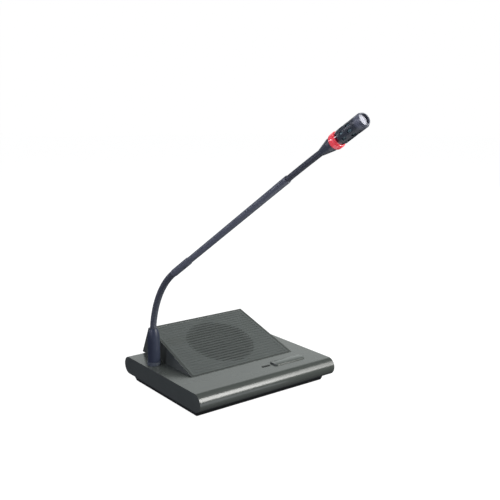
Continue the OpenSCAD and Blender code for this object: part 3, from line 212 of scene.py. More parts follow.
# %% A soft box
def soft_box(name, place, aim, size, watts, colour):
    lamp = bpy.data.lights.new(name, "AREA")
    lamp.shape = "RECTANGLE"
    lamp.size = size[0]
    lamp.size_y = size[1]
    lamp.energy = watts
    lamp.color = linear(colour)[:3]
    box = bpy.data.objects.new(name, lamp)
    box.location = place
    box.rotation_euler = (Vector(aim) - Vector(place)).to_track_quat("-Z", "Y").to_euler()
    box.visible_camera = False
    scene.collection.objects.link(box)


print("a soft box has a place, an aim, a size, a power and a colour")

# %% [markdown]
# A mirror-like edge shows the shape of the lamp itself, so each box has its place from the reflection
# that it has to give. One wide lamp would be simpler, but it would leave the neck flat and the left side
# of the base too pale. Places, aims and sizes are in metres, in the same frame as the model. Faint air
# all around keeps the deepest shadows from going black.

# %% Soft boxes and the air around
base_middle = (0, -0.05, 0.05)
# The round front edge mirrors the core as a bright strip, and the spread softens the strip's border.
soft_box(
    "key_core", place=(0.72, -1.25, 0.79), aim=base_middle, size=(0.55, 1.00), watts=16, colour="#fffefb",
)
soft_box(
    "key_spread", place=(0.92, -1.14, 0.77), aim=base_middle, size=(1.3, 1.05), watts=21, colour="#fffefb",
)
# The flat top mirrors this pale wall at a low angle.
soft_box(
    "rear_wall", place=(1.20, 1.45, 0.72), aim=(0, 0, 0.10), size=(2.6, 1.30), watts=11, colour="#f5fbf8",
)
# A faint fill from the left draws the sides out of the dark.
soft_box(
    "low_fill", place=(-1.70, -0.70, 0.25), aim=(0, 0, 0.20), size=(2.0, 1.2), watts=4.5, colour="#f1f3ff",
)
# This small box is the bright spot on the light ring.
soft_box(
    "left_rear", place=(-1.42, 1.20, 0.44), aim=(-0.09, -0.2, 0.3), size=(0.34, 0.30), watts=4.8,
    colour="#f6f6ff",
)
# A card on the table lights the underside of the neck.
soft_box(
    "neck_card", place=(-0.10, -0.23, 0.004), aim=(-0.10, -0.231, 0.4), size=(0.30, 0.24), watts=0.28,
    colour="#f4f6ff",
)
# A narrow strip draws the pale streak on the neck's sleeve.
soft_box(
    "left_strip", place=(-1.55, -0.15, 0.75), aim=(-0.09, 0.03, 0.06), size=(0.16, 0.7), watts=8,
    colour="#e9e9ff",
)
# A sheet overhead evens out what faces up.
soft_box(
    "top_sheet", place=(-0.20, 0.10, 1.60), aim=(0, 0, 0), size=(0.9, 0.9), watts=6, colour="#ffffff",
)
air = bpy.data.worlds.new("studio_air")
air.use_nodes = True
air_glow = air.node_tree.nodes["Background"]
air_glow.inputs["Color"].default_value = linear("#c9cedb")
air_glow.inputs["Strength"].default_value = 0.10
scene.world = air

# %% [markdown]
# Most finishes on this object are moulded, painted, drawn or cast, and what tells them apart is the same
# few things: two close tones that drift across the surface, a grain that scatters the gloss, and how
# rough it is. So one function mixes such a finish: patch_mm is the size of the drift, grain_mm the size
# of the grain and depth_mm its height. stretch draws the grain out along an axis, as turning and
# felting do. Anything else goes straight onto the shader's own sockets by name.
# The texture coordinates are the object's own, in metres, so one over a size gives a pattern's scale.
# A pixel is about a millimetre here, and most real grain is a tenth or two, too fine to show. So the
# grain of each finish below is drawn a few times coarser than it is.

# %% A grained finish
grain_low = 0.3
grain_high = 0.7


def grained(name, tones, patch_mm, grain_mm, depth_mm, roughness, sockets, stretch=(1, 1, 1)):
    finish, tree, shader = blank_finish(name, sockets)
    place = add_node(tree, "TexCoord").outputs["Object"]
    drawn = add_node(tree, "Mapping", {"Scale": stretch}, {"Vector": place}).outputs["Vector"]
    patch = add_node(tree, "TexNoise", {"Scale": 1 / (patch_mm * MM), "Detail": 3}, {"Vector": place})
    grain = add_node(tree, "TexNoise", {"Scale": 1 / (grain_mm * MM), "Detail": 2}, {"Vector": drawn})
    tone = add_node(
        tree, "Mix", {"data_type": "RGBA", 6: linear(tones[0]), 7: linear(tones[1])},
        {0: patch.outputs["Fac"]},
    )
    gloss = add_node(
        tree, "MapRange",
        {"From Min": grain_low, "From Max": grain_high, "To Min": roughness[0], "To Max": roughness[1]},
        {"Value": grain.outputs["Fac"]},
    )
    bump = add_node(
        tree, "Bump", {"Strength": 1, "Distance": depth_mm * MM}, {"Height": grain.outputs["Fac"]},
    )
    tree.links.new(tone.outputs[2], shader.inputs["Base Color"])
    tree.links.new(gloss.outputs["Result"], shader.inputs["Roughness"])
    tree.links.new(bump.outputs["Normal"], shader.inputs["Normal"])
    return finish


print("grain between", grain_low, "and", grain_high, "of the noise moves the gloss")

# %% [markdown]
# Some finishes change over a piece: a round field that is darker, an end that is in the shade. They
# could be two materials on two sets of faces, but then the border would follow the faces. Here a second
# tone is laid over the first instead, by a share that grows while some measure on the surface goes from
# start to end.

# %% A second tone over a finish
def lay_tone(finish, measure, start, end, tone, blend="MIX", most=1.0):
    tree = finish.node_tree
    base_colour = tree.nodes["Principled BSDF"].inputs["Base Color"]
    share = add_node(
        tree, "MapRange", {"From Min": start, "From Max": end, "To Max": most}, {"Value": measure},
    )
    mixed = add_node(
        tree, "Mix", {"data_type": "RGBA", "blend_type": blend, 7: linear(tone)},
        {0: share.outputs["Result"], 6: base_colour.links[0].from_socket},
    )
    tree.links.new(mixed.outputs[2], base_colour)
    return mixed.outputs[2]


print("a second tone takes over between two values of a measure")

# %% [markdown]
# A solid from the model keeps its shape, but a moulded or turned edge is never a knife edge: a small
# radius catches the light. The model's faces come apart at each sharp edge, so a Weld modifier joins
# them first, and then a Bevel rounds every edge that turns by more than thirty degrees. Weighted Normal
# comes last: it lets the large faces lead the shading, so that they stay flat up to the rounding.

# %% Dress a solid from the model
weld_mm = 0.001
sharp_turn = math.radians(30)
edge_segments = 2
large_faces_lead = 100


def dress(finish, *names, edge_mm=0.0):
    for name in names:
        piece = nodes[name]
        piece.data.materials.clear()
        piece.data.materials.append(finish)
        if edge_mm:
            weld = piece.modifiers.new("join_faces", "WELD")
            weld.merge_threshold = weld_mm * MM
            bevel = piece.modifiers.new("round_edges", "BEVEL")
            bevel.width = edge_mm * MM
            bevel.segments = edge_segments
            bevel.limit_method = "ANGLE"
            bevel.angle_limit = sharp_turn
            bevel.use_clamp_overlap = True
            shading = piece.modifiers.new("shade_by_area", "WEIGHTED_NORMAL")
            shading.weight = large_faces_lead
            shading.keep_sharp = False
    print(finish.name, "on", ", ".join(names))


print("edges over", round(math.degrees(sharp_turn)), "degrees are rounded in", edge_segments, "steps")

# %% [markdown]
# The housing is injection-moulded ABS in a dark grey with a touch of green. Its mould was spark-eroded,
# which leaves a fine even grain and a semi-gloss. The real grain is about 0.3 mm, too fine for this
# picture, so it is drawn at 0.8 mm.

# %% Housing in moulded ABS
abs_ior = 1.53
# Semi-gloss ABS: the eye sees a broad soft highlight and no mirror.
housing_abs = grained(
    "abs_moulded_dark_grey", ("#414542", "#494d4a"), patch_mm=26, grain_mm=0.8, depth_mm=0.006,
    roughness=(0.20, 0.26), sockets={"IOR": abs_ior},
)
dress(housing_abs, "top_shell", edge_mm=0.9)
dress(housing_abs, "wedge_shell", edge_mm=0.3)

# %% [markdown]
# The grille panel is the same ABS from a coarser mould. Its round field has sound slots between the ribs,
# with black cloth behind them. The slots are real openings in the solid, but in the picture they are
# hardly a pixel wide and wash out. So the round field is painted a little darker too: partly the black
# cloth's own colour, partly painted shade for the dark inside the slots, as the eye sees a field of small
# dark slots from across a room.

# %% Grille in moulded ABS
# Matt ABS: a paler, even grey, with no highlight on the slope.
grille_abs = grained(
    "abs_moulded_grille", ("#4b504e", "#545957"), patch_mm=22, grain_mm=0.8, depth_mm=0.006,
    roughness=(0.38, 0.46), sockets={"IOR": abs_ior},
)
field_low, field_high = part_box("grille_cloth")
field_centre = (field_low + field_high) / 2
field_r = (field_high - field_low).x / 2
field_over = 1 * MM
field_shade_fade = 6 * MM
field_shade_border = field_r + field_over
field_shade_full = field_r - field_shade_fade
grille_place = add_node(grille_abs.node_tree, "TexCoord").outputs["Object"]
from_centre = add_node(
    grille_abs.node_tree, "VectorMath", {"operation": "DISTANCE", 1: field_centre}, {0: grille_place},
)
# Painted shade: the round field is multiplied darker, standing in for the dark of its slots.
lay_tone(grille_abs, from_centre.outputs["Value"], field_shade_border, field_shade_full, "#e2e2e2", "MULTIPLY")
dress(grille_abs, "grille_panel", edge_mm=0.15)
print("round field of the grille:", [round(c, 4) for c in field_centre], "radius", round(field_r, 4))

# %% [markdown]
# The bar of the talk button has a crowned top, so that a finger finds its middle without a look. In the
# picture its rear half mirrors the pale wall and its front half the dark room. The solid's top is flat,
# so a piece with the crown takes its place. A bump could shade a flat top like that, but the shape would
# be missing from the mesh. The bar's box comes from the solid, and its own sizes in mm are the solid's
# too, apart from the crown, which stands a little above the flat top and falls to the long edges.

# %% Sizes of the talk button's bar
button_low, button_high = [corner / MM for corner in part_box("talk_button")]
bar_middle = (button_low + button_high) / 2
flange_w = button_high.x - button_low.x
flange_d = button_high.y - button_low.y
flange_r = 3.4
flange_low = 27.9
flange_t = 1.0
flange_out = 1.7
bar_w = flange_w - 2 * flange_out
bar_d = flange_d - 2 * flange_out
bar_r = 3.1
bar_wall = 1.6
bar_roof = button_high.z - bar_wall
ridge_rise = 0.45
ridge_half = 0.3
crown_h = 1.2
bar_top = button_high.z + ridge_rise
edge_r = 0.2
post_w = 7.0
post_r = 0.4
print("bar of", round(bar_w, 2), "by", round(bar_d, 2), "mm, ridge at", round(bar_top, 2), "mm")

# %% [markdown]
# The bar is one skin over a row of rounded rectangles. They go from the post over the switch along the
# roof, down the inner wall, round the stop flange, up the outer wall, round the edge and over the crown.
# Each ring has the same number of points, so the faces between them are plain quads. The crown is a
# parabola across the bar: a point falls with the square of its way from the middle.

# %% Rings of the bar
corner_steps = 8
edge_steps = 4
crown_steps = 10


def bar_ring(width, depth, radius, z, crown=0.0):
    points = []
    for corner, (side_x, side_y) in enumerate(((1, 1), (-1, 1), (-1, -1), (1, -1))):
        for step in range(corner_steps + 1):
            turn = (corner + step / corner_steps) * math.pi / 2
            x = side_x * (width / 2 - radius) + radius * math.cos(turn)
            y = side_y * (depth / 2 - radius) + radius * math.sin(turn)
            fall = crown * (y / (bar_d / 2)) ** 2
            points.append(Vector((bar_middle.x + x, bar_middle.y + y, z - fall)) * MM)
    return points


inner_w = bar_w - 2 * bar_wall
inner_d = bar_d - 2 * bar_wall
inner_r = bar_r / 2
flange_top = flange_low + flange_t
bar_rings = [
    bar_ring(post_w, post_w, post_r, button_low.z),
    bar_ring(post_w, post_w, post_r, bar_roof),
    bar_ring(inner_w, inner_d, inner_r, bar_roof),
    bar_ring(inner_w, inner_d, inner_r, flange_low),
    bar_ring(flange_w, flange_d, flange_r, flange_low),
    bar_ring(flange_w, flange_d, flange_r, flange_top),
    bar_ring(bar_w, bar_d, bar_r, flange_top),
]
for step in range(edge_steps + 1):
    turn = step / edge_steps * math.pi / 2
    inset = edge_r * (1 - math.cos(turn))
    z = bar_top - edge_r * (1 - math.sin(turn))
    bar_rings.append(bar_ring(bar_w - 2 * inset, bar_d - 2 * inset, bar_r - inset, z, crown_h))
for step in range(1, crown_steps + 1):
    inset = edge_r + (bar_d / 2 - ridge_half - edge_r) * step / crown_steps
    radius = max(bar_r - inset, ridge_half)
    bar_rings.append(bar_ring(bar_w - 2 * inset, bar_d - 2 * inset, radius, bar_top, crown_h))
print("rings of the bar:", len(bar_rings), "with", len(bar_rings[0]), "points each")

# %% [markdown]
# Two more faces close the skin, under the post and on the ridge. Smooth shading runs over the crown, and
# edges that turn by more than thirty degrees stay sharp. The bar is the housing's ABS in a lighter grey.
# It rides on the body of the button, so it goes down with it when it is pressed.

# %% Skin of the bar
# Semi-gloss ABS a tone lighter than the panel, so that the crown's two halves part clearly.
button_abs = grained(
    "abs_moulded_button", ("#4a4f4c", "#545956"), patch_mm=14, grain_mm=0.7, depth_mm=0.006,
    roughness=(0.20, 0.26), sockets={"IOR": abs_ior},
)
bar_sides = len(bar_rings[0])
bar_points = [point for ring in bar_rings for point in ring]
bar_faces = quads_between(len(bar_rings), bar_sides)
bar_faces.append(tuple(range(bar_sides))[::-1])
bar_faces.append(tuple(range(len(bar_points) - bar_sides, len(bar_points))))
talk_bar = new_piece("talk_bar", bar_points, bar_faces, button_abs)
talk_bar.data.shade_smooth()
talk_bar.data.set_sharp_from_angle(angle=sharp_turn)
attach(talk_bar, "talk")
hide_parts("talk_button")
print("talk bar of", len(bar_faces), "faces, crown", crown_h, "mm")

# %% [markdown]
# The cover under the slab is moulded in black ABS with a rougher mould. The indicator window is a small
# moulding in smoked polycarbonate with a satin face, and under it stands a red diode in cast epoxy. The
# window could be glass that shows the diode, but it is dark while the diode is off, so a near-black
# plastic says the same and renders clean.

# %% Cover, indicator window and diode
# Rough black ABS: it reads as the shadow under the slab.
cover_abs = grained(
    "abs_moulded_black", ("#141516", "#1c1d1e"), patch_mm=20, grain_mm=0.8, depth_mm=0.012,
    roughness=(0.45, 0.55), sockets={"IOR": abs_ior},
)
dress(cover_abs, "bottom_cover", edge_mm=0.5)
# Satin smoked plastic: a near-black patch that hardly mirrors.
smoked_polycarbonate = grained(
    "polycarbonate_moulded_smoked_satin", ("#0c0e0e", "#121414"), patch_mm=6, grain_mm=0.5, depth_mm=0.001,
    roughness=(0.40, 0.48), sockets={"IOR": 1.58, "Specular IOR Level": 0.15},
)
dress(smoked_polycarbonate, "indicator_lens", edge_mm=0.2)
# Cast epoxy lets light in: a deep, wet red.
diode_epoxy = grained(
    "epoxy_cast_red", ("#a3141c", "#b81b24"), patch_mm=2, grain_mm=0.4, depth_mm=0.001,
    roughness=(0.08, 0.14), sockets={"IOR": 1.55, "Transmission Weight": 0.5},
)
dress(diode_epoxy, "indicator_led")

# %% [markdown]
# The neck's rigid pieces are turned or drawn steel under stoved lacquer: blue-black on the sleeve, grey
# on the ferrule and the stem, and a darker grey on the collar and the cone. Lacquer has an orange-peel
# skin, a slow ripple that breaks up the edge of a highlight. The lacquer hides the metal, so these
# finishes aren't metallic, and the shader's default IOR of 1.5 is a lacquer's own.

# %% Lacquered steel of the neck
# Blue-black lacquer: dark, with one cool blurred streak.
sleeve_lacquer = grained(
    "steel_stove_lacquered_blue", ("#2a3040", "#323848"), patch_mm=9, grain_mm=0.7, depth_mm=0.008,
    roughness=(0.34, 0.42), sockets={"Specular IOR Level": 0.35},
)
dress(sleeve_lacquer, "neck_sleeve", edge_mm=0.3)
# Grey lacquer: a paler tube with a soft streak along it.
stem_lacquer = grained(
    "steel_stove_lacquered_grey", ("#5a5e69", "#666a75"), patch_mm=9, grain_mm=0.7, depth_mm=0.008,
    roughness=(0.34, 0.44), sockets={},
)
dress(stem_lacquer, "ferrule", "stem", edge_mm=0.3)
# Dark grey lacquer: between the two in tone, with a crisper streak.
collar_lacquer = grained(
    "steel_stove_lacquered_dark_grey", ("#414751", "#4c525c"), patch_mm=6, grain_mm=0.6, depth_mm=0.008,
    roughness=(0.30, 0.40), sockets={},
)
dress(collar_lacquer, "neck_collar", "head_cone", edge_mm=0.3)

# %% [markdown]
# The neck's line is the same as in the model: straight up in the sleeve, a tight bend, a long bend, the
# ferrule and the straight stem, and a slight droop in the upper tube. It starts at the top of the
# sleeve, which comes from the solids. The bends are radii and angles, in mm and degrees, as someone who
# bends tubes would set them. A part of the line is a radius and an angle, or no radius and a length.

# %% Bends and lengths of the neck
sleeve_low, sleeve_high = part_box("neck_sleeve")
tube_low, tube_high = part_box("lower_flex")
neck_x = (tube_low.x + tube_high.x) / 2
neck_y = (sleeve_low.y + sleeve_high.y) / 2
neck_top = Vector((neck_x, neck_y, sleeve_high.z)) / MM
exit_r = 30.0
exit_lean = 11.3
bend_r = 110.0
stem_lean = 58.0
neck_bends = [(exit_r, math.radians(exit_lean)), (bend_r, math.radians(stem_lean - exit_lean))]
# The straight run has the ferrule and the stem in it.
stem_length = 235.0
upper_length = 51.0
head_droop = math.radians(1.5)
head_reach = 1000.0
lower_length = sum(radius * angle for radius, angle in neck_bends)
droop_r = upper_length / head_droop
neck_parts = neck_bends + [(None, stem_length), (droop_r, head_droop), (None, head_reach)]
upper_start = lower_length + stem_length
head_start = upper_start + upper_length
lower_middle = lower_length / 2
stem_middle = lower_length + stem_length / 2
upper_middle = upper_start + upper_length / 2
print("lower tube", round(lower_length, 2), "mm, head from", round(head_start, 2), "mm along the neck")

# %% [markdown]
# A Bezier curve could follow this line by hand, but bends of a known radius are arcs, and arcs are a
# formula. One function gives the point and the lean at any distance u from the top of the sleeve, so
# tubes and lead can share it. The lean turns about X, so a direction along the neck has no X part.
# Another function puts a ring of points round the line.

# %% The line of the neck
def neck_at(u):
    point = neck_top.copy()
    lean = 0.0
    if u < 0:
        return point + Vector((0, 0, u)), lean
    for radius, amount in neck_parts:
        length = radius * amount if radius else amount
        run = min(u, length)
        if radius:
            turned = lean + run / radius
            rearward = math.cos(turned) - math.cos(lean)
            upward = math.sin(turned) - math.sin(lean)
            point += radius * Vector((0, rearward, upward))
            lean = turned
        else:
            point += run * Vector((0, -math.sin(lean), math.cos(lean)))
        u -= run
        if u <= 0:
            break
    return point, lean


def neck_ring(u, radii):
    point, lean = neck_at(u)
    side = Vector((1, 0, 0))
    across = Vector((0, math.cos(lean), math.sin(lean)))
    turns = [2 * math.pi * i / len(radii) for i in range(len(radii))]
    return [
        (point + radius * (math.cos(turn) * side + math.sin(turn) * across)) * MM
        for radius, turn in zip(radii, turns)
    ]


print("foot of the head at", [round(c, 2) for c in neck_at(head_start)[0]], "mm")

# %% [markdown]
# A tube and a lead are both closed skins: an outside, a bore and two ends. A curve with a bevel would
# draw the outside with less work, but it can't have a winding. So the rings of the outside are followed
# by those of the bore, backwards, and the last ring is joined to the first.
# A rigid piece rides on one body of the model. A piece that bends lies between two of them, but here it
# only has its transform baked into its mesh and is tied to no body.

# %% Mesh of a closed tube
def closed_tube(name, outer, inner, finish):
    rings = outer + inner[::-1]
    points = [point for ring in rings for point in ring]
    piece = new_piece(name, points, quads_between(len(rings), len(rings[0]), closed=True), finish)
    piece.data.shade_smooth()
    return piece


def bend_between(piece, start_u, end_u):
    neck_at(start_u)[0] * MM
    neck_at(end_u)[0] * MM
    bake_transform(piece)


print("a closed tube has an outside, a bore and two ends in one skin")

# %% [markdown]
# The tubes are wound from blued spring steel strip with a thin clear lacquer. The valleys of the winding
# are painted darker, as painted shade, and the crests keep the strip's own tone. The texture doesn't need
# to know where a crest is: Pointiness does, because a crest is a convex edge and a valley a hollow one. A
# flat face has a pointiness of one half.

# %% Finish of the wound strip
pointiness_crest = 0.58
pointiness_valley = 0.42
valley_shade_share = 0.5
# Blued strip under lacquer: a dull blue-grey with finely drawn crests.
strip_steel = grained(
    "spring_steel_wound_blued", ("#3f434d", "#4a4e58"), patch_mm=5, grain_mm=0.5, depth_mm=0.006,
    roughness=(0.50, 0.60), sockets={},
)
pointiness = add_node(strip_steel.node_tree, "NewGeometry").outputs["Pointiness"]
# Painted shade: the valleys of the winding are made darker by pointiness.
lay_tone(
    strip_steel, pointiness, pointiness_crest, pointiness_valley, "#b4b4c0", "MULTIPLY", most=valley_shade_share,
)
print(strip_steel.name, "has", len(strip_steel.node_tree.nodes), "nodes")

# %% [markdown]
# A gooseneck tube is a steel strip wound into a tight spiral, with each turn gripping the next. What
# shows is a fine screw-like rib. It could be a bump on a smooth tube, but then the outline would stay
# smooth where the tube bends, so the rib is real: the radius of each point follows its place in the
# turn. The end of a tube is turned down to a plain seat that goes into the sleeve, the ferrule, the stem
# or the cone, below a foot half and above a top half.

# %% Half of a wound tube
tube_sides = 28
steps_per_turn = 8
rib_share = 0.16
seat_depth = 7.0
seat_shoulder = 0.01
seat_step = 0.6


def wound_half(name, start, end, seat_below, outer_d, bore_d, pitch):
    rib_h = rib_share * pitch
    steps = math.ceil((end - start) / pitch * steps_per_turn)
    stations = [start + (end - start) * step / steps for step in range(steps + 1)]
    if seat_below:
        stations = [start - seat_depth, start - seat_shoulder] + stations
    else:
        stations = stations + [end + seat_shoulder, end + seat_depth]
    outer = []
    inner = []
    for u in stations:
        radii = [outer_d / 2 - seat_step] * tube_sides
        if start <= u <= end:
            turns = [(u / pitch - i / tube_sides) % 1 for i in range(tube_sides)]
            waves = [0.5 + 0.5 * math.cos(2 * math.pi * turn) for turn in turns]
            radii = [outer_d / 2 - rib_h * wave ** 2 for wave in waves]
        outer.append(neck_ring(u, radii))
        inner.append(neck_ring(u, [bore_d / 2] * tube_sides))
    piece = closed_tube(name, outer, inner, strip_steel)
    return piece


print("a turn of the winding has", steps_per_turn, "rings of", tube_sides, "points")

# %% [markdown]
# There are two wound tubes, a stout one at the foot of the neck and a thinner one behind the head. Each is
# cut in the middle, where a foot half and a top half meet, and each half is listed with the two
# neighbouring bodies it lies between. The script builds the halves in place and ties neither to a body.

# %% The two wound tubes
seat_gap = 0.3
lower_d = 7.9
lower_bore = 3.6
lower_pitch = 2.2
upper_d = 5.9
upper_bore = 3.2
upper_pitch = 1.9
tube_halves = [
    ("lower_tube_foot", ("base", "lower_bend"), 0.0, lower_middle),
    ("lower_tube_top", ("lower_bend", "arm"), lower_middle, lower_length),
    ("upper_tube_foot", ("arm", "upper_bend"), upper_start, upper_middle),
    ("upper_tube_top", ("upper_bend", "head"), upper_middle, head_start),
]
for name, bodies, bend_start, bend_end in tube_halves:
    lower = name.startswith("lower")
    foot = name.endswith("foot")
    start = bend_start + seat_gap if foot else bend_start
    end = bend_end if foot else bend_end - seat_gap
    tube_sizes = (lower_d, lower_bore, lower_pitch) if lower else (upper_d, upper_bore, upper_pitch)
    half = wound_half(name, start, end, foot, *tube_sizes)
    bend_between(half, bend_start, bend_end)
    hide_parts("lower_flex" if lower else "upper_flex")
    print(name, "from", round(start, 1), "to", round(end, 1), "mm along the neck")

# %% [markdown]
# One screened lead runs through the whole neck, from the bush in the base to the back of the capsule. It
# is four lengths that meet in the middle of each tube and half-way up the stem, each along the half of a
# tube round it, built in place and tied to no body. The leads in the base are solids of the model with the
# same sheath.

# %% The lead inside the neck
# Soft extruded PVC: a matt dark red with a faint waxy sheen.
lead_sheath = grained(
    "pvc_extruded_red", ("#5e1d1d", "#6c2424"), patch_mm=8, grain_mm=0.6, depth_mm=0.010,
    roughness=(0.42, 0.54), sockets={"IOR": 1.53},
)
lead_d = 2.2
lead_core_d = 0.4
lead_sides = 12
lead_step = 3.0
lead_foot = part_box("neck_lead")[0].z / MM - neck_top.z
lead_in_head = 48.5
lead_tip = head_start + lead_in_head
lead_names = ["lead_foot", "lead_stem", "lead_upper", "lead_head"]
lead_ends = [lead_foot, lower_middle, stem_middle, upper_middle, lead_tip]
for name, start, end, half in zip(lead_names, lead_ends, lead_ends[1:], tube_halves):
    _, bodies, bend_start, bend_end = half
    steps = math.ceil((end - start) / lead_step)
    stations = [start + (end - start) * step / steps for step in range(steps + 1)]
    outer = [neck_ring(u, [lead_d / 2] * lead_sides) for u in stations]
    inner = [neck_ring(u, [lead_core_d / 2] * lead_sides) for u in stations]
    length = closed_tube(name, outer, inner, lead_sheath)
    bend_between(length, bend_start, bend_end)
    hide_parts("neck_lead")
    print(name, "from", round(start, 1), "to", round(end, 1), "mm along the neck")
dress(lead_sheath, "base_lead", "speaker_leads", "socket_leads")

# %% [markdown]
# The head lies along the end of the neck's line, so a place on it is best measured along that axis. The
# dot product of a point with the axis is such a measure, in the shader as well as here. With it, a
# second tone can start and end at a distance along the neck, without a texture that has to be mapped.
# The lengths of cone, ring and head are those of the solids, in mm.

# %% Zones along the head
cone_length = 18.0
ring_length = 6.6
ring_neck_length = 3.9
head_length = 29.0
ring_rear = head_start + cone_length
ring_front = ring_rear + ring_length
head_front = ring_front + ring_neck_length + head_length
head_lean = neck_at(head_start)[1]
head_axis = Vector((0, -math.sin(head_lean), math.cos(head_lean)))


def tone_along(finish, start_u, end_u, tone):
    tree = finish.node_tree
    place = add_node(tree, "TexCoord").outputs["Object"]
    along = add_node(tree, "VectorMath", {"operation": "DOT_PRODUCT", 1: head_axis}, {0: place})
    start, end = [neck_at(u)[0].dot(head_axis) * MM for u in (start_u, end_u)]
    return lay_tone(finish, along.outputs["Value"], start, end, tone)


print("ring from", round(ring_rear, 1), "mm, head to", round(head_front, 1), "mm along the neck")

# %% [markdown]
# The head is turned aluminium, anodised black: the dye sits in the metal's own skin, so the grain of the
# turning still shows as a satin sheen. The skin is an oxide with dye in its pores, and no mirror, so it
# isn't metallic here. The band at the mouth is painted lighter, a painted highlight where the tapered rim
# catches the light.
# The light ring is a red polycarbonate moulding with diodes inside. Light wanders in it before it comes
# out, which is what Subsurface is for, and a little emission stands for the lit diodes. Glass with lamps
# inside would be nearer to the truth, but slow and noisy. The rear edge is painted darker in its colour
# and its glow, as painted shade on the ring's rounded rear edge. The front end is a narrow neck in the
# shade of the head, where the red looks like wine.

# %% Head and light ring
mouth_highlight_band = 4.5
mouth_highlight_fade = 3.0
rear_shade_length = 2.0
wine_from = 0.6
wine_fade = 1.0
# Dyed oxide skin: a satin black with a grey sheen.
head_anodised = grained(
    "aluminium_turned_anodised_black", ("#393e46", "#434850"), patch_mm=7, grain_mm=0.5, depth_mm=0.003,
    roughness=(0.36, 0.46), sockets={},
)
highlight_start = head_front - mouth_highlight_band
# Painted highlight: the band at the mouth is painted lighter, where the tapered rim catches the light.
tone_along(head_anodised, highlight_start - mouth_highlight_fade, highlight_start, "#6c707c")
dress(head_anodised, "head_sleeve", edge_mm=0.12)
# Glossy red polycarbonate: a full, warm red that seems lit from within, with a sharp highlight.
ring_polycarbonate = grained(
    "polycarbonate_moulded_red", ("#e2434f", "#ea555f"), patch_mm=4, grain_mm=0.6, depth_mm=0.001,
    roughness=(0.11, 0.15), sockets={
        "IOR": 1.58,
        "Subsurface Weight": 0.4,
        "Subsurface Radius": (4.0 * MM, 0.8 * MM, 0.8 * MM),
        "Emission Strength": 0.42,
    },
)
# Painted shade: the ring's rear edge is painted darker, in colour and glow.
tone_along(ring_polycarbonate, ring_rear + rear_shade_length, ring_rear, "#5a0f20")
wine_start = ring_front + wine_from
lit_tone = tone_along(ring_polycarbonate, wine_start, wine_start + wine_fade, "#4a0f1c")
ring_tree = ring_polycarbonate.node_tree
ring_tree.links.new(lit_tone, ring_tree.nodes["Principled BSDF"].inputs["Emission Color"])
dress(ring_polycarbonate, "light_ring", edge_mm=0.2)

# %% [markdown]
# Wire mesh and cloth are both plain weave: one set of threads goes over and under the other. The product
# of two sine waves, one along each set, rises and falls in just that pattern. Real threads could be
# modelled, but there would be thousands, each finer than a pixel. The function takes the directions that
# the threads follow. Two directions lie flat. Where there are three, the first two only give the angle
# round the third, and the weave runs round the liner and along it.
# Real mesh has a pitch of about 0.4 mm, finer than a pixel here, so it is drawn at 1 mm.

# %% A woven finish
head_side = Vector((1, 0, 0))
head_across = Vector((0, math.cos(head_lean), math.sin(head_lean)))
head_point = neck_at(head_start)[0] * MM
liner_r = 5.7 * MM


def woven(name, tones, pitch_mm, depth_mm, directions, sockets):
    finish, tree, shader = blank_finish(name, sockets)
    place = add_node(tree, "TexCoord").outputs["Object"]
    wraps = len(directions) == 3
    if wraps:
        from_axis = add_node(tree, "VectorMath", {"operation": "SUBTRACT", 1: head_point}, {0: place})
        place = from_axis.outputs["Vector"]
    lengths = []
    for direction in directions:
        dot = add_node(tree, "VectorMath", {"operation": "DOT_PRODUCT", 1: direction}, {0: place})
        lengths.append(dot.outputs["Value"])
    if wraps:
        angle = add_node(tree, "Math", {"operation": "ARCTAN2"}, {0: lengths[0], 1: lengths[1]})
        way_round = add_node(tree, "Math", {"operation": "MULTIPLY", 1: liner_r}, {0: angle.outputs[0]})
        lengths = [way_round.outputs[0], lengths[2]]
    waves = []
    for length in lengths:
        phase = add_node(
            tree, "Math", {"operation": "MULTIPLY", 1: math.pi / (pitch_mm * MM)}, {0: length},
        )
        waves.append(add_node(tree, "Math", {"operation": "SINE"}, {0: phase.outputs[0]}).outputs[0])
    weave = add_node(tree, "Math", {"operation": "MULTIPLY"}, {0: waves[0], 1: waves[1]})
    rise = add_node(tree, "MapRange", {"From Min": -1.0, "From Max": 1.0}, {"Value": weave.outputs[0]})
    tone = add_node(
        tree, "Mix", {"data_type": "RGBA", 6: linear(tones[0]), 7: linear(tones[1])},
        {0: rise.outputs["Result"]},
    )
    bump = add_node(
        tree, "Bump", {"Strength": 1, "Distance": depth_mm * MM}, {"Height": rise.outputs["Result"]},
    )
    tree.links.new(tone.outputs[2], shader.inputs["Base Color"])
    tree.links.new(bump.outputs["Normal"], shader.inputs["Normal"])
    return finish


print("weaves follow the head's axis", [round(c, 3) for c in head_axis])

# %% [markdown]
# The disc in the mouth is bright stainless wire. The liner behind the slots is the same cloth under a
# grey-green lacquer, so that it doesn't glitter through the slots. Behind the grille hangs acoustic
# cloth, a matt black polyester whose threads run across and up the slope. Its real threads are about
# 0.2 mm apart, and are drawn at 0.8 mm.

# %% Meshes and cloth
# Bright wire: pale points in a grey grid.
mouth_wire = woven(
    "stainless_wire_woven", ("#64656f", "#a4a5ad"), pitch_mm=1.0, depth_mm=0.04,
    directions=(head_side, head_across), sockets={"Roughness": 0.55, "Metallic": 1.0},
)
dress(mouth_wire, "mouth_mesh")
# Lacquered wire: a soft grey-green glint deep in the slots.
liner_wire = woven(
    "steel_wire_woven_lacquered", ("#4c6266", "#7b9498"), pitch_mm=1.0, depth_mm=0.08,
    directions=(head_side, head_across, head_axis), sockets={"Roughness": 0.42},
)
dress(liner_wire, "head_mesh")
slope_low, slope_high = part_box("grille_panel")
slope_up = ((slope_high - slope_low) * Vector((0, 1, 1))).normalized()
# Matt black cloth: it takes the light away, so the slots look deep.
acoustic_cloth = woven(
    "polyester_woven_black", ("#0c0d0d", "#1b1d1c"), pitch_mm=0.8, depth_mm=0.06,
    directions=(head_side, slope_up), sockets={"Roughness": 0.85, "IOR": 1.53},
)
dress(acoustic_cloth, "grille_cloth")

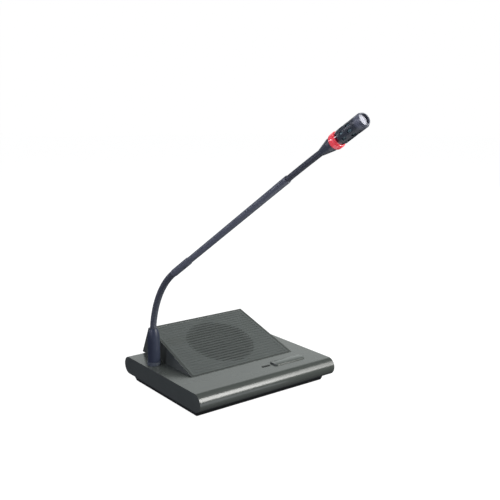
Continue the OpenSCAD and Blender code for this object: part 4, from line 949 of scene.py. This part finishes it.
# %% [markdown]
# Under the base lies a rubber mat. Rubber is matt, and the mould that pressed it has a fine grain. The
# foam gasket, the loudspeaker's surround and the capsule's boot are softer kinds of the same black, and
# the cone, cap and spider are felted paper pulp, with the long soft fibres of such paper. Fibres could
# be hair, but inside the housing a stretched grain is enough.

# %% Rubber, foam and paper
# Pressed rubber: black without a highlight.
mat_rubber = grained(
    "rubber_moulded_black", ("#141415", "#1d1d1e"), patch_mm=12, grain_mm=1.2, depth_mm=0.06,
    roughness=(0.70, 0.85), sockets={"IOR": 1.52},
)
dress(mat_rubber, "anti_slip_mat", edge_mm=0.3)
# Open-cell foam: a crumbly black that swallows light.
soft_foam = grained(
    "foam_open_cell_black", ("#121212", "#202020"), patch_mm=3, grain_mm=0.9, depth_mm=0.20,
    roughness=(0.85, 0.95), sockets={"IOR": 1.50},
)
dress(soft_foam, "speaker_gasket", "speaker_surround", "capsule_boot")
# Pressed pulp: a brownish black with drawn-out fibres.
cone_paper = grained(
    "paper_pulp_pressed", ("#26241f", "#35322b"), patch_mm=6, grain_mm=1.4, depth_mm=0.05,
    roughness=(0.75, 0.90), sockets={"IOR": 1.50}, stretch=(1, 0.3, 1),
)
dress(cone_paper, "speaker_cone", "dust_cap", "spider")

# %% [markdown]
# The steel inside is zinc plated: a cool grey metal with faint cloudy crystals. A metal's colour is the
# colour of its reflections, so Metallic is 1 and the tones are the mirror's. The bush and its nut are
# turned brass, the coil is enamelled copper wire, the magnet is ground ferrite and the capsule is a
# drawn aluminium can. Each could be one flat tone, but a metal without drift or grain looks like paint.

# %% Metals and ferrite
# Zinc plating: cool grey with cloudy patches.
zinc_steel = grained(
    "steel_zinc_plated", ("#a4a8ad", "#bcc0c4"), patch_mm=5, grain_mm=0.8, depth_mm=0.004,
    roughness=(0.28, 0.42), sockets={"Metallic": 1.0},
)
dress(
    zinc_steel, "speaker_frame", "top_plate", "yoke", "speaker_screws", "cover_screws", "ballast_plate",
    "ballast_screws", "board_screws", "socket_nuts", "neck_washer", edge_mm=0.15,
)
# Turned brass: warm yellow, with rings that draw the highlight out.
turned_brass = grained(
    "brass_turned", ("#b58f42", "#c9a557"), patch_mm=6, grain_mm=0.4, depth_mm=0.004,
    roughness=(0.22, 0.34), sockets={"Metallic": 1.0}, stretch=(0.2, 0.2, 1),
)
dress(turned_brass, "neck_bush", "neck_nut", edge_mm=0.15)
# Enamelled wire: a reddish metal with a glossy skin.
copper_wire = grained(
    "copper_wire_enamelled", ("#a5562f", "#bd6b3e"), patch_mm=4, grain_mm=0.3, depth_mm=0.02,
    roughness=(0.25, 0.35), sockets={"Metallic": 1.0},
)
dress(copper_wire, "voice_coil")
# Ground ferrite: a ceramic as dark as slate, with a dull sheen.
ground_ferrite = grained(
    "ferrite_sintered_ground", ("#2d2d30", "#3b3b3e"), patch_mm=5, grain_mm=0.5, depth_mm=0.01,
    roughness=(0.45, 0.6), sockets={"IOR": 2.4},
)
dress(ground_ferrite, "magnet", edge_mm=0.2)
# Drawn aluminium: a pale, even metal with a soft mirror.
drawn_aluminium = grained(
    "aluminium_drawn", ("#b4b6ba", "#c8cacd"), patch_mm=4, grain_mm=0.4, depth_mm=0.003,
    roughness=(0.26, 0.36), sockets={"Metallic": 1.0},
)
dress(drawn_aluminium, "capsule", edge_mm=0.15)

# %% [markdown]
# The boards are glass-fibre laminate under green solder resist. Chips, capacitors and the key switch are
# moulded black epoxy, the headers and the plunger are ivory nylon, and the sockets on the back are black
# PBT. Real boards have printed tracks, but nothing of that is seen from outside, so plain finishes do.

# %% Boards, devices and sockets
# Solder resist: a thin glossy green over a cloudy base.
green_laminate = grained(
    "laminate_glass_epoxy_green", ("#15452a", "#1f5b39"), patch_mm=3, grain_mm=0.7, depth_mm=0.01,
    roughness=(0.22, 0.34), sockets={"IOR": 1.55},
)
dress(green_laminate, "circuit_board", "ring_leds", edge_mm=0.1)
# Moulded epoxy: black and nearly matt.
black_epoxy = grained(
    "epoxy_moulded_black", ("#161617", "#202022"), patch_mm=4, grain_mm=0.4, depth_mm=0.01,
    roughness=(0.45, 0.6), sockets={"IOR": 1.55},
)
dress(black_epoxy, "amplifier_chip", "switch_case", "capacitors", edge_mm=0.1)
# Moulded nylon: a creamy white with a waxy sheen.
ivory_nylon = grained(
    "nylon_moulded_ivory", ("#d8d2ba", "#e6e0ca"), patch_mm=4, grain_mm=0.5, depth_mm=0.005,
    roughness=(0.40, 0.50), sockets={"IOR": 1.53},
)
dress(ivory_nylon, "board_headers", "switch_plunger", edge_mm=0.1)
# Moulded PBT: a hard black plastic with a slight gloss.
black_pbt = grained(
    "pbt_moulded_black", ("#18191b", "#232427"), patch_mm=6, grain_mm=0.5, depth_mm=0.006,
    roughness=(0.30, 0.40), sockets={"IOR": 1.55},
)
dress(black_pbt, "bus_sockets", "socket_inserts", edge_mm=0.2)
